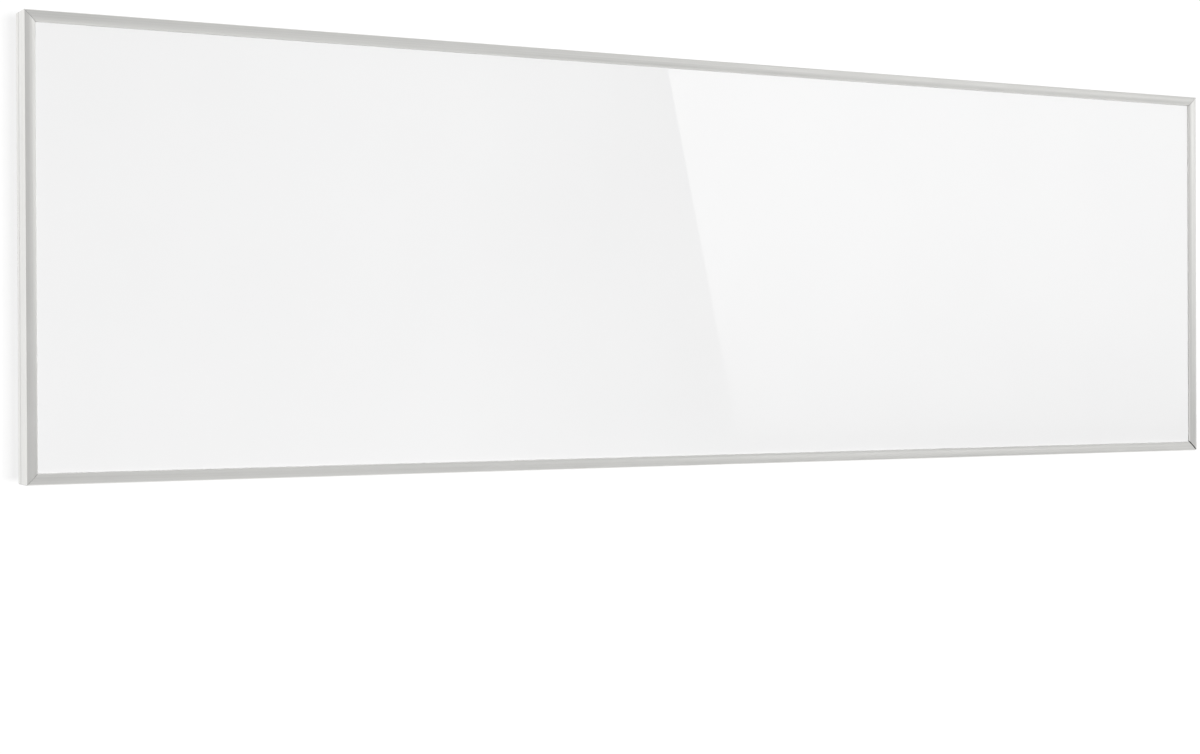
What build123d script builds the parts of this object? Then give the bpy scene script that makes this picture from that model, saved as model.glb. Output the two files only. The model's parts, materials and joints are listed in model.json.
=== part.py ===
from build123d import *

import os
from math import cos, radians, sin

# Slim infrared panel heater, hung on a wall. All sizes are in millimetres.
# X runs along the heater, Z is up, and Y points from the glossy front to the wall, which is the
# plane Y = 0. The origin is the centre of the four keyholes by which the heater hangs.

os.makedirs("parts", exist_ok=True)

# ---------------------------------------------------------------- driving dimensions
# Front
panel_length = 1000.0
panel_height = 300.0
panel_thickness = 1.2
panel_corner_radius = 1.0
panel_edge_gap = 1.0  # from the edge of the front to the rail's outer wall
panel_play = 0.1

# Frame rail section: "inset" is measured from the frame's outer face towards its middle
rail_depth = 22.0
rail_wall = 1.5
lip_width = 7.5
lip_rise = 0.1  # the rail's outer edge lies this far behind the crown of its lip
lip_fall = 0.5  # and the lip's inner edge this far
lip_crown = 0.3
lip_thickness = 2.2
arris_radius = 0.4
rib_thickness = 1.2
channel_width = 4.3
hook_thickness = 1.2
hook_length = 2.5
flange_reach = 13.0
flange_thickness = 1.4
back_rim = 1.4
groove_width = 0.6
groove_depth = 0.3
groove_from_back = 1.6
mitre_gap = 0.15
wall_gap = 25.0  # from the frame's back edge to the wall

# Corner keys
key_play = 0.1
key_leg = 30.0
key_chamfer = 1.0
grub_from_corner = 20.0
grub_radius = 2.5
grub_stand = 0.4
thread_fit = 0.05

# Heated stack behind the front
board_edge_gap = 0.5
board_thickness = 1.6
track_width = 13.0
track_rows = 14
track_side_margin = 20.0
track_thickness = 0.3
track_end_margin = 18.0
track_middle_gap = 20.0
sheet_thickness = 0.5
foil_thickness = 0.3
insulation_thickness = 12.0
insulation_inset = 12.0

# Small screws and rivets have this many sides instead of a full round
fastener_sides = 8

# Back plate and its screws
plate_thickness = 1.0
plate_edge_gap = 0.2
plate_corner_radius = 1.0
swage_width = 10.0
swage_height = 1.5
swage_rows = 3
swage_end_margin = 180.0
swage_box_margin = 22.0
swage_taper = 35.0
screw_radius = 1.5
screw_head_radius = 3.0
screw_head_height = 1.8
screw_length = 6.5
screw_hole_play = 0.25
screw_inset = 9.0
long_side_screws = 6
long_side_end_margin = 35.0
short_side_end_margin = 75.0

# Hangers
keyhole_end_margin = 120.0
keyhole_side_margin = 60.0
keyhole_entry_radius = 5.0
keyhole_slot_width = 5.2
keyhole_slot_rise = 11.0
hanger_sheet = 1.5
hanger_crown = 40.0
hanger_foot = 15.0
hanger_bend_radius = 3.0
hanger_length = 60.0
hanger_lift = 4.0  # middle of the hanger above the keyhole's entry
rivet_radius = 1.6
rivet_play = 0.05
rivet_head_radius = 3.2
rivet_head_height = 1.0
rivet_tail_radius = 2.1
rivet_tail_height = 1.2
rivet_row_span = 40.0

# Control box
box_length = 116.0
box_height = 58.0
box_depth = 22.0
box_from_end = 270.0
box_above_edge = 30.0
box_wall = 2.0
box_corner_radius = 4.0
box_edge_radius = 1.0
base_thickness = 2.0
base_rim_height = 2.0
base_rim_wall = 1.5
box_fit = 0.2
post_radius = 3.5
post_inset_x = 8.0
post_inset_z = 8.0
cover_screw_radius = 1.4
cover_screw_depth = 8.0
cover_screw_sink = 1.0
base_screw_span = 80.0
base_screw_height = 9.0  # above the middle of the box

# Circuit board and what it carries
board_post_height = 4.0
board_post_radius = 2.6
circuit_end_margin = 13.0
circuit_height = 28.0
circuit_bottom = -4.0  # lower edge, measured from the middle of the box
circuit_thickness = 1.6
tongue_end_margin = 1.0
tongue_length = 31.0
tongue_drop = 16.0
board_screw_radius = 1.2
board_screw_head_radius = 2.3
board_screw_head_height = 1.3
board_hole_inset = 3.5

# Rocker switch
port_clearance = 0.2
switch_x = -8.0
bezel_length = 21.0
bezel_width = 15.0
bezel_thickness = 1.6
switch_body_length = 18.6
switch_body_width = 12.4
switch_body_depth = 14.0
rocker_length = 14.8
rocker_width = 9.6
rocker_bay_play = 0.4
rocker_tilt = 10.0
rocker_rise = 3.8
rocker_dish = 1.2
rocker_back = 1.6
pivot_depth = 2.6
pivot_radius = 1.2
pivot_fit = 0.05
pivot_length = 1.2
rocker_shoulder = 0.2
rocker_draft = 0.6
rocker_hub = 2.4
rocker_bay_above = 2.4
bezel_radius = 1.5
tab_width = 4.8
tab_thickness = 0.8
tab_length = 5.0
tab_spacing = 9.0

# Pairing button, tactile switch and status light
button_x = 20.0
button_radius = 3.0
button_stand = 0.9
button_flange_radius = 4.0
button_flange_thickness = 1.0
button_stem_radius = 1.6
button_travel = 0.5
button_fit = 0.1
tactile_side = 6.2
tactile_depth = 4.0
plunger_radius = 1.7
plunger_stand = 1.2
plunger_depth = 2.4
plunger_end_gap = 0.3
light_x = 33.0
light_radius = 1.5
light_flange_radius = 2.4
light_flange_thickness = 1.0
light_stand = 0.6
light_gap = 0.2
led_side = 3.6
led_depth = 3.0

# Parts on the circuit board: across it they are placed in a row from its right end, and in
# height from the middle of the control box
wireless_from_end = 7.5
wireless_z = 9.5
wireless_size = (11.0, 22.0, 0.8)
power_gap = 2.0
power_z = 12.0
power_size = (20.0, 16.0, 9.0)
relay_gap = 3.0
relay_z = 15.6
relay_size = (19.0, 15.0, 10.5)
shield_size = (8.6, 13.0, 2.2)
shield_margin = 1.2
antenna_trace = 0.8
antenna_rise = 0.2
antenna_turns = 3
part_edge = 0.8
terminal_from_end = 17.54
terminal_pitch = 5.08
terminal_poles = 3
terminal_height = 11.0
terminal_depth = 11.0
terminal_entry_depth = 8.0
terminal_entry_play = 0.3
terminal_lead_depth = 5.0
terminal_screw_radius = 1.6
terminal_screw_sink = 1.0
terminal_screw_length = 3.0

# Cable gland
gland_from_end = 22.0
gland_thread_radius = 6.0
gland_flats = 15.0
gland_collar = 4.0
gland_inner_length = 9.0
gland_outer_length = 8.0
gland_bore_radius = 3.9
gland_seat_radius = 4.9
locknut_flats = 15.0
locknut_thickness = 4.0
cap_gap = 0.3
cap_hex_length = 8.0
cap_nose_length = 5.0
cap_nose_radius = 7.2
cap_mouth_radius = 3.6
cap_dome = 2.5
seal_bore_radius = 3.3
seal_length = 9.0
seal_stand = 1.0
gland_fit = 0.05

# Wiring
wiring_hole_z = -12.0
wiring_hole_radius = 6.0
grommet_wall = 1.0
grommet_brim = 1.5
grommet_lip = 1.2
lead_radius = 1.1
lead_bend = 3.5
switch_lead_bend = 2.0
pocket_lead_rise = 8.5  # lead's axis behind the track
pocket_offset_x = -15.0  # this and the next five are measured from the middle of the control box
pocket_top = 17.5
live_end_offset = 10.0
neutral_end_offset = -46.0
limiter_offset_z = 1.5
limiter_offsets_x = (-8.0, 20.0)
window_side = 12.0
end_tab_width = 6.3
end_tab_foot = 8.0
end_tab_height = 10.0
end_tab_thickness = 0.8
limiter_radius = 8.0
limiter_cap_height = 2.0
limiter_body_radius = 6.4
limiter_body_height = 4.5
limiter_tab_height = 3.0
limiter_tab_width = 4.0
limiter_tab_thickness = 0.8
limiter_tab_inset = 4.0
feed_lead_margin = 12.0
earth_screw_x = 8.0
earth_screw_z = -14.0
earth_screw_radius = 2.0
earth_screw_head_radius = 3.6
earth_screw_head_height = 2.4
earth_nut_flats = 7.0
earth_nut_thickness = 3.2
earth_ring_radius = 5.2
earth_ring_thickness = 0.8
earth_tongue_offset = 4.0
earth_tongue_width = 3.6
earth_lead_rise = 1.9  # lead's axis above the base's floor
earth_lead_z = -1.0

# ---------------------------------------------------------------- worked-out places
keyhole_span_x = panel_length - 2 * keyhole_end_margin
keyhole_span_z = panel_height - 2 * keyhole_side_margin
long_side_screw_span = panel_length - 2 * long_side_end_margin
short_side_screw_span = panel_height - 2 * short_side_end_margin
track_pitch = (panel_height - 2 * track_side_margin) / (track_rows - 1)
swage_pitch = panel_height / (2 * swage_rows)
swage_length = panel_length - 2 * swage_end_margin
frame_length = panel_length + 2 * (panel_edge_gap + rail_wall)
frame_height = panel_height + 2 * (panel_edge_gap + rail_wall)
half_length = frame_length / 2
half_height = frame_height / 2

front_y = -(wall_gap + rail_depth)
arris_y = front_y + lip_rise
lip_edge_y = front_y + lip_fall
panel_front_y = lip_edge_y + lip_thickness
panel_back_y = panel_front_y + panel_thickness
rib_front_y = panel_back_y + panel_play
channel_front_y = rib_front_y + rib_thickness
rail_back_y = -wall_gap
plate_inner_y = rail_back_y - back_rim
plate_outer_y = plate_inner_y + plate_thickness
channel_back_y = plate_inner_y - flange_thickness
channel_reach = rail_wall + channel_width
hook_reach = channel_reach + hook_thickness

board_back_y = panel_back_y + board_thickness
track_back_y = board_back_y + track_thickness
sheet_back_y = track_back_y + sheet_thickness
foil_back_y = sheet_back_y + foil_thickness

box_centre_x = panel_length / 2 - box_from_end
box_bottom_z = -half_height + box_above_edge
box_centre_z = box_bottom_z + box_height / 2
box_back_y = plate_outer_y + box_depth
base_floor_y = plate_outer_y + base_thickness
cover_ceiling_y = box_back_y - box_wall
port_y = (base_floor_y + box_back_y) / 2
box_floor_z = box_bottom_z + box_wall
circuit_front_y = base_floor_y + board_post_height
circuit_back_y = circuit_front_y + circuit_thickness
circuit_length = box_length - 2 * circuit_end_margin
terminal_x = -circuit_length / 2 + terminal_from_end
wiring_hole_x = terminal_x - terminal_pitch / 2
gland_x = -box_length / 2 + gland_from_end

pocket_length = box_length
pocket_x = box_centre_x + pocket_offset_x
pocket_top_z = box_centre_z + pocket_top
live_end_x = box_centre_x + live_end_offset
neutral_end_x = box_centre_x + neutral_end_offset
limiter_z = box_centre_z + limiter_offset_z
first_limiter_x, second_limiter_x = [box_centre_x + offset_x for offset_x in limiter_offsets_x]


def upright(y):
    """Plane parallel to the wall at this Y: local x is X, local y is Z, normal towards the front."""
    return Plane.XZ.offset(-y)


def level(z):
    """Horizontal plane at this Z."""
    return Plane.XY.offset(z)


def box_point(x, z):
    """A place in the control box, given from its middle, as X and Z."""
    return (box_centre_x + x, box_centre_z + z)


def port_point(x):
    """The axis of an opening in the control box's underside, as X and Y."""
    return (box_centre_x + x, port_y)


# Screws around the back plate: a row along each long side and two on each short side.
long_row = [
    (-long_side_screw_span / 2 + i * long_side_screw_span / (long_side_screws - 1))
    for i in range(long_side_screws)
]
top_screws = [(x, half_height - screw_inset) for x in long_row]
bottom_screws = [(x, -half_height + screw_inset) for x in long_row]
short_row = (-short_side_screw_span / 2, short_side_screw_span / 2)
left_screws = [(-half_length + screw_inset, z) for z in short_row]
right_screws = [(half_length - screw_inset, z) for z in short_row]
plate_screw_points = top_screws + bottom_screws + left_screws + right_screws

# ---------------------------------------------------------------- frame rails


def make_rail(label, inward, half_run, half_across, screw_points):
    """One mitred rail: its section is drawn across the run and cut at 45 degrees at both ends."""
    across = Vector(*inward)
    outer_middle = across * -half_across
    section_plane = Plane(
        origin=outer_middle, x_dir=across, z_dir=across.cross(Vector(0, 1, 0))
    )
    with BuildPart() as rail:
        with BuildSketch(section_plane) as section:
            with BuildLine():
                ThreePointArc(
                    (0, arris_y),
                    (lip_width / 2, (arris_y + lip_edge_y) / 2 - lip_crown),
                    (lip_width, lip_edge_y),
                )
                Polyline(
                    (lip_width, lip_edge_y),
                    (lip_width, panel_front_y),
                    (rail_wall, panel_front_y),
                    (rail_wall, rib_front_y),
                    (hook_reach, rib_front_y),
                    (hook_reach, channel_front_y + hook_length),
                    (channel_reach, channel_front_y + hook_length),
                    (channel_reach, channel_front_y),
                    (rail_wall, channel_front_y),
                    (rail_wall, channel_back_y),
                    (channel_reach, channel_back_y),
                    (channel_reach, channel_back_y - hook_length),
                    (hook_reach, channel_back_y - hook_length),
                    (hook_reach, channel_back_y),
                    (flange_reach, channel_back_y),
                    (flange_reach, plate_inner_y),
                    (rail_wall, plate_inner_y),
                    (rail_wall, rail_back_y),
                    (0, rail_back_y),
                    (0, arris_y),
                )
            make_face()
            fillet(section.vertices().sort_by_distance((0, arris_y))[0], arris_radius)
            with Locations((0, rail_back_y - groove_from_back)):
                Rectangle(2 * groove_depth, groove_width, mode=Mode.SUBTRACT)
        extrude(amount=half_run, both=True)
        for end in (section_plane.z_dir, -section_plane.z_dir):
            cut_normal = (across + end).normalized()
            cut_point = outer_middle + end * half_run - cut_normal * (mitre_gap / 2)
            split(bisect_by=Plane(origin=cut_point, z_dir=cut_normal), keep=Keep.BOTTOM)
        with BuildSketch(upright(plate_inner_y)):
            with Locations(*screw_points):
                Circle(screw_radius + thread_fit)
        extrude(amount=flange_thickness, mode=Mode.SUBTRACT)
    rail.part.label = label
    export_step(rail.part, f"parts/{label}.step")


make_rail("top_rail", (0, 0, -1), half_length, half_height, top_screws)
make_rail("bottom_rail", (0, 0, 1), half_length, half_height, bottom_screws)
make_rail("left_rail", (1, 0, 0), half_height, half_length, left_screws)
make_rail("right_rail", (-1, 0, 0), half_height, half_length, right_screws)

# ---------------------------------------------------------------- corner keys and grub screws

key_thickness = channel_width - 2 * key_play
key_height = channel_back_y - channel_front_y - 2 * key_play
key_middle_y = (channel_front_y + channel_back_y) / 2
key_inset = rail_wall + key_play
corner_signs = ((-1, 1), (1, 1), (-1, -1), (1, -1))


def corner_plane(sign_x, sign_z):
    """Plane in the frame's outer corner with both local axes pointing into the frame."""
    return Plane(
        origin=(sign_x * half_length, key_middle_y, sign_z * half_height),
        x_dir=(-sign_x, 0, 0),
        z_dir=(0, -sign_x * sign_z, 0),
    )


def grub_planes(sign_x, sign_z):
    """Planes on the channel's outer wall at the two grub screws of a corner, facing inwards."""
    far = grub_from_corner
    return (
        Plane(
            origin=(sign_x * (half_length - far), key_middle_y, sign_z * (half_height - rail_wall)),
            x_dir=(1, 0, 0),
            z_dir=(0, 0, -sign_z),
        ),
        Plane(
            origin=(sign_x * (half_length - rail_wall), key_middle_y, sign_z * (half_height - far)),
            x_dir=(0, 0, 1),
            z_dir=(-sign_x, 0, 0),
        ),
    )


for number, (sign_x, sign_z) in enumerate(corner_signs, start=1):
    with BuildPart() as corner_key:
        with BuildSketch(corner_plane(sign_x, sign_z)) as key_outline:
            with Locations((key_inset, key_inset)):
                Rectangle(key_leg, key_thickness, align=(Align.MIN, Align.MIN))
                Rectangle(key_thickness, key_leg, align=(Align.MIN, Align.MIN))
            outer_vertex = key_outline.vertices().sort_by_distance((key_inset, key_inset))[0]
            chamfer(outer_vertex, key_chamfer)
        extrude(amount=key_height / 2, both=True)
        for grub_plane in grub_planes(sign_x, sign_z):
            with BuildSketch(grub_plane):
                Circle(grub_radius + thread_fit)
            extrude(amount=key_play + key_thickness, mode=Mode.SUBTRACT)
    corner_key.part.label = f"corner_key_{number}"
    export_step(corner_key.part, f"parts/corner_key_{number}.step")

with BuildPart() as corner_grub_screws:
    grub_length = key_play + key_thickness + grub_stand
    for sign_x, sign_z in corner_signs:
        for grub_plane in grub_planes(sign_x, sign_z):
            with BuildSketch(grub_plane):
                RegularPolygon(grub_radius, fastener_sides)
            extrude(amount=grub_length)
corner_grub_screws.part.label = "corner_grub_screws"
export_step(corner_grub_screws.part, "parts/corner_grub_screws.step")

# ---------------------------------------------------------------- front panel and heated stack

with BuildPart() as front_panel:
    with BuildSketch(upright(panel_front_y)):
        RectangleRounded(panel_length, panel_height, panel_corner_radius)
    extrude(amount=-panel_thickness)
front_panel.part.label = "front_panel"
export_step(front_panel.part, "parts/front_panel.step")

board_inset = hook_reach + board_edge_gap
with BuildPart() as heating_board:
    with BuildSketch(upright(panel_back_y)):
        Rectangle(frame_length - 2 * board_inset, frame_height - 2 * board_inset)
    extrude(amount=-board_thickness)
heating_board.part.label = "heating_board"
export_step(heating_board.part, "parts/heating_board.step")

# The heating track starts at the live end, climbs the right half in rows, crosses at the top and
# comes down the left half to the neutral end.
track_outer = half_length - track_end_margin - board_inset
track_inner = track_middle_gap / 2
track_bottom_z = -(track_rows - 1) * track_pitch / 2
with BuildPart() as heating_track:
    with BuildSketch(upright(board_back_y)):
        for row in range(track_rows):
            row_z = track_bottom_z + row * track_pitch
            is_bottom = row == 0
            is_top = row == track_rows - 1
            right_start = live_end_x if is_bottom else track_inner
            left_end = neutral_end_x if is_bottom else -track_inner
            if is_top:
                right_start = -track_inner
            half_strip = track_width / 2
            with Locations((right_start - half_strip, row_z)):
                Rectangle(
                    track_outer - right_start + track_width,
                    track_width,
                    align=(Align.MIN, Align.CENTER),
                )
            with Locations((-track_outer - half_strip, row_z)):
                Rectangle(
                    track_outer + left_end + track_width,
                    track_width,
                    align=(Align.MIN, Align.CENTER),
                )
            if not is_top:
                turn_x = track_outer if row % 2 == 0 else track_inner
                with Locations(
                    (turn_x, row_z + track_pitch / 2), (-turn_x, row_z + track_pitch / 2)
                ):
                    Rectangle(track_width, track_pitch)
    extrude(amount=-track_thickness)
heating_track.part.label = "heating_track"
export_step(heating_track.part, "parts/heating_track.step")

stack_length = frame_length - 2 * insulation_inset
stack_height = frame_height - 2 * insulation_inset
with BuildPart() as insulating_sheet:
    with BuildSketch(upright(track_back_y)):
        Rectangle(stack_length, stack_height)
        with Locations((live_end_x, track_bottom_z), (neutral_end_x, track_bottom_z)):
            Rectangle(window_side, window_side, mode=Mode.SUBTRACT)
    extrude(amount=-sheet_thickness)
insulating_sheet.part.label = "insulating_sheet"
export_step(insulating_sheet.part, "parts/insulating_sheet.step")


def pocketed_outline():
    """The stack's rectangle with the wiring pocket behind the control box left out."""
    Rectangle(stack_length, stack_height)
    with Locations((pocket_x, pocket_top_z)):
        Rectangle(
            pocket_length,
            stack_height / 2,
            align=(Align.CENTER, Align.MAX),
            mode=Mode.SUBTRACT,
        )


with BuildPart() as reflective_foil:
    with BuildSketch(upright(sheet_back_y)):
        pocketed_outline()
    extrude(amount=-foil_thickness)
reflective_foil.part.label = "reflective_foil"
export_step(reflective_foil.part, "parts/reflective_foil.step")

with BuildPart() as insulation_board:
    with BuildSketch(upright(foil_back_y)):
        pocketed_outline()
    extrude(amount=-insulation_thickness)
insulation_board.part.label = "insulation_board"
export_step(insulation_board.part, "parts/insulation_board.step")

# ---------------------------------------------------------------- hangers and rivets

hanger_points = [
    (sign_x * keyhole_span_x / 2, sign_z * keyhole_span_z / 2) for sign_x, sign_z in corner_signs
]
rivet_offset_x = hanger_crown / 2 + hanger_foot / 2


def rivets_of(keyhole_x, keyhole_z):
    """The four rivets of the hanger with this keyhole, as X and Z."""
    return [
        (keyhole_x + side * rivet_offset_x, keyhole_z + hanger_lift + row * rivet_row_span / 2)
        for side in (-1, 1)
        for row in (-1, 1)
    ]


rivet_points = [point for keyhole in hanger_points for point in rivets_of(*keyhole)]
hanger_half_width = hanger_crown / 2 + hanger_foot

for number, (keyhole_x, keyhole_z) in enumerate(hanger_points, start=1):
    middle_z = keyhole_z + hanger_lift
    with BuildPart() as hanger:
        with BuildSketch(Plane((keyhole_x, 0, middle_z - hanger_length / 2))):
            with BuildLine():
                FilletPolyline(
                    (-hanger_half_width, plate_outer_y),
                    (-hanger_crown / 2 + hanger_sheet, plate_outer_y),
                    (-hanger_crown / 2 + hanger_sheet, -hanger_sheet),
                    (hanger_crown / 2 - hanger_sheet, -hanger_sheet),
                    (hanger_crown / 2 - hanger_sheet, plate_outer_y),
                    (hanger_half_width, plate_outer_y),
                    radius=hanger_bend_radius - hanger_sheet,
                )
                offset(amount=hanger_sheet, side=Side.LEFT)
            make_face()
        extrude(amount=hanger_length)
        with BuildSketch(upright(0)):
            with Locations((keyhole_x, keyhole_z)):
                Circle(keyhole_entry_radius)
                with Locations((0, keyhole_slot_rise / 2)):
                    SlotCenterToCenter(keyhole_slot_rise, keyhole_slot_width, rotation=90)
        extrude(amount=hanger_sheet, mode=Mode.SUBTRACT)
        with BuildSketch(upright(plate_outer_y + hanger_sheet)):
            with Locations(*rivets_of(keyhole_x, keyhole_z)):
                Circle(rivet_radius + rivet_play)
        extrude(amount=hanger_sheet, mode=Mode.SUBTRACT)
    hanger.part.label = f"hanger_{number}"
    export_step(hanger.part, f"parts/hanger_{number}.step")

with BuildPart() as hanger_rivets:
    with BuildSketch(upright(plate_outer_y + hanger_sheet)):
        with Locations(*rivet_points):
            RegularPolygon(rivet_radius, fastener_sides)
    extrude(amount=hanger_sheet + plate_thickness)
    with BuildSketch(upright(plate_outer_y + hanger_sheet)):
        with Locations(*rivet_points):
            RegularPolygon(rivet_head_radius, fastener_sides)
    extrude(amount=-rivet_head_height)
    with BuildSketch(upright(plate_inner_y)):
        with Locations(*rivet_points):
            RegularPolygon(rivet_tail_radius, fastener_sides)
    extrude(amount=rivet_tail_height)
hanger_rivets.part.label = "hanger_rivets"
export_step(hanger_rivets.part, "parts/hanger_rivets.step")

# ---------------------------------------------------------------- back plate

wiring_point = box_point(wiring_hole_x, wiring_hole_z)
earth_point = box_point(earth_screw_x, earth_screw_z)
base_screw_points = [box_point(side * base_screw_span / 2, base_screw_height) for side in (-1, 1)]
swage_short_length = swage_length / 2 + box_centre_x - box_length / 2 - swage_box_margin
swage_centre_x = (swage_short_length - swage_length) / 2

with BuildPart() as back_plate:
    with BuildSketch(upright(plate_inner_y)):
        RectangleRounded(
            frame_length - 2 * (rail_wall + plate_edge_gap),
            frame_height - 2 * (rail_wall + plate_edge_gap),
            plate_corner_radius,
        )
    extrude(amount=-plate_thickness)
    # Pressed swages: raised towards the wall, hollow on the inside. The lowest one stops short of
    # the control box.
    swages = (
        (0, swage_pitch, swage_length),
        (0, 0, swage_length),
        (swage_centre_x, -swage_pitch, swage_short_length),
    )
    for face_y, trim, how in (
        (plate_outer_y, 0, Mode.ADD),
        (plate_inner_y, plate_thickness, Mode.SUBTRACT),
    ):
        with BuildSketch(upright(face_y)):
            for swage_x, swage_z, length in swages:
                with Locations((swage_x, swage_z)):
                    SlotOverall(length - 2 * trim, swage_width - 2 * trim)
        extrude(amount=-swage_height, taper=swage_taper, mode=how)
    with BuildSketch(upright(plate_outer_y)):
        with Locations(*plate_screw_points):
            Circle(screw_radius + screw_hole_play)
        with Locations(*rivet_points):
            Circle(rivet_radius + rivet_play)
        with Locations(wiring_point):
            Circle(wiring_hole_radius)
        with Locations(earth_point):
            Circle(earth_screw_radius + screw_hole_play)
        with Locations(*base_screw_points):
            Circle(cover_screw_radius + thread_fit)
    extrude(amount=plate_thickness, mode=Mode.SUBTRACT)
back_plate.part.label = "back_plate"
export_step(back_plate.part, "parts/back_plate.step")

with BuildPart() as back_plate_screws:
    with BuildSketch(upright(plate_outer_y)):
        with Locations(*plate_screw_points):
            RegularPolygon(screw_radius, fastener_sides)
    extrude(amount=screw_length)
    with BuildSketch(upright(plate_outer_y)):
        with Locations(*plate_screw_points):
            RegularPolygon(screw_head_radius, fastener_sides)
    extrude(amount=-screw_head_height)
back_plate_screws.part.label = "back_plate_screws"
export_step(back_plate_screws.part, "parts/back_plate_screws.step")

# ---------------------------------------------------------------- control box

post_points = [
    box_point(sx * (box_length / 2 - post_inset_x), sz * (box_height / 2 - post_inset_z))
    for sx, sz in corner_signs
]
circuit_top = circuit_bottom + circuit_height
circuit_points = [
    box_point(side * (circuit_length / 2 - board_hole_inset), z)
    for side in (-1, 1)
    for z in (circuit_bottom + board_hole_inset, circuit_top - board_hole_inset)
]
post_top_y = cover_ceiling_y

with BuildPart() as control_base:
    with BuildSketch(upright(plate_outer_y)):
        with Locations((box_centre_x, box_centre_z)):
            RectangleRounded(box_length, box_height, box_corner_radius)
    extrude(amount=-base_thickness)
    rim_outer = box_wall + box_fit
    rim_inner = rim_outer + base_rim_wall
    with BuildSketch(upright(base_floor_y)):
        with Locations((box_centre_x, box_centre_z)):
            RectangleRounded(
                box_length - 2 * rim_outer,
                box_height - 2 * rim_outer,
                box_corner_radius - box_wall,
            )
            Rectangle(
                box_length - 2 * rim_inner,
                box_height - 2 * rim_inner,
                mode=Mode.SUBTRACT,
            )
    extrude(amount=-base_rim_height)
    with BuildSketch(upright(base_floor_y)):
        with Locations(*post_points):
            Circle(post_radius)
    extrude(amount=-(post_top_y - base_floor_y))
    with BuildSketch(upright(base_floor_y)):
        with Locations(*circuit_points):
            Circle(board_post_radius)
    extrude(amount=-board_post_height)
    with BuildSketch(upright(post_top_y)):
        with Locations(*post_points):
            Circle(cover_screw_radius + thread_fit)
    extrude(amount=cover_screw_depth, mode=Mode.SUBTRACT)
    with BuildSketch(upright(circuit_front_y)):
        with Locations(*circuit_points):
            Circle(board_screw_radius + thread_fit)
    extrude(amount=board_post_height, mode=Mode.SUBTRACT)
    with BuildSketch(upright(base_floor_y)):
        with Locations(wiring_point):
            Circle(wiring_hole_radius + grommet_brim + box_fit)
        with Locations(earth_point):
            Circle(earth_ring_radius + box_fit)
        with Locations(*base_screw_points):
            Circle(cover_screw_radius + screw_hole_play)
    extrude(amount=base_thickness, mode=Mode.SUBTRACT)
control_base.part.label = "control_base"
export_step(control_base.part, "parts/control_base.step")

with BuildPart() as control_cover:
    with BuildSketch(upright(base_floor_y)):
        with Locations((box_centre_x, box_centre_z)):
            RectangleRounded(box_length, box_height, box_corner_radius)
    extrude(amount=-(box_back_y - base_floor_y))
    fillet(control_cover.faces().sort_by(Axis.Y)[-1].edges(), box_edge_radius)
    with BuildSketch(upright(base_floor_y)):
        with Locations((box_centre_x, box_centre_z)):
            RectangleRounded(
                box_length - 2 * box_wall,
                box_height - 2 * box_wall,
                box_corner_radius - box_wall,
            )
    extrude(amount=-(cover_ceiling_y - base_floor_y), mode=Mode.SUBTRACT)
    with BuildSketch(upright(box_back_y)):
        with Locations(*post_points):
            Circle(cover_screw_radius + screw_hole_play)
    extrude(amount=box_wall, mode=Mode.SUBTRACT)
    with BuildSketch(upright(box_back_y)):
        with Locations(*post_points):
            Circle(board_screw_head_radius + box_fit)
    extrude(amount=cover_screw_sink, mode=Mode.SUBTRACT)
    with BuildSketch(level(box_bottom_z)):
        with Locations(port_point(gland_x)):
            Circle(gland_thread_radius + gland_fit)
        with Locations(port_point(switch_x)):
            Rectangle(switch_body_length + port_clearance, switch_body_width + port_clearance)
        with Locations(port_point(button_x)):
            Circle(button_radius + button_fit)
        with Locations(port_point(light_x)):
            Circle(light_radius + button_fit)
    extrude(amount=box_wall, mode=Mode.SUBTRACT)
control_cover.part.label = "control_cover"
export_step(control_cover.part, "parts/control_cover.step")


def pan_screws(points, seat_y, radius, length, head_radius, head_height):
    """Pan-head screws whose heads sit on seat_y and whose shanks run towards the front."""
    with BuildPart() as screws:
        with BuildSketch(upright(seat_y)):
            with Locations(*points):
                RegularPolygon(radius, fastener_sides)
        extrude(amount=length)
        with BuildSketch(upright(seat_y)):
            with Locations(*points):
                RegularPolygon(head_radius, fastener_sides)
        extrude(amount=-head_height)
    return screws


cover_screws = pan_screws(
    post_points,
    box_back_y - cover_screw_sink,
    cover_screw_radius,
    cover_screw_depth,
    board_screw_head_radius,
    board_screw_head_height,
)
cover_screws.part.label = "cover_screws"
export_step(cover_screws.part, "parts/cover_screws.step")

base_screws = pan_screws(
    base_screw_points,
    base_floor_y,
    cover_screw_radius,
    base_thickness + plate_thickness + rivet_tail_height,
    board_screw_head_radius,
    board_screw_head_height,
)
base_screws.part.label = "base_screws"
export_step(base_screws.part, "parts/base_screws.step")

# ---------------------------------------------------------------- circuit board

tongue_centre_x = circuit_length / 2 - tongue_end_margin - tongue_length / 2
with BuildPart() as circuit_board:
    with BuildSketch(upright(circuit_front_y)):
        with Locations(box_point(0, circuit_bottom + circuit_height / 2)):
            Rectangle(circuit_length, circuit_height)
        with Locations(box_point(tongue_centre_x, circuit_bottom)):
            Rectangle(tongue_length, tongue_drop, align=(Align.CENTER, Align.MAX))
        with Locations(*circuit_points):
            Circle(board_screw_radius + screw_hole_play, mode=Mode.SUBTRACT)
    extrude(amount=-circuit_thickness)
circuit_board.part.label = "circuit_board"
export_step(circuit_board.part, "parts/circuit_board.step")

board_screws = pan_screws(
    circuit_points,
    circuit_back_y,
    board_screw_radius,
    circuit_thickness + board_post_height - thread_fit,
    board_screw_head_radius,
    board_screw_head_height,
)
board_screws.part.label = "board_screws"
export_step(board_screws.part, "parts/board_screws.step")


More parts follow.
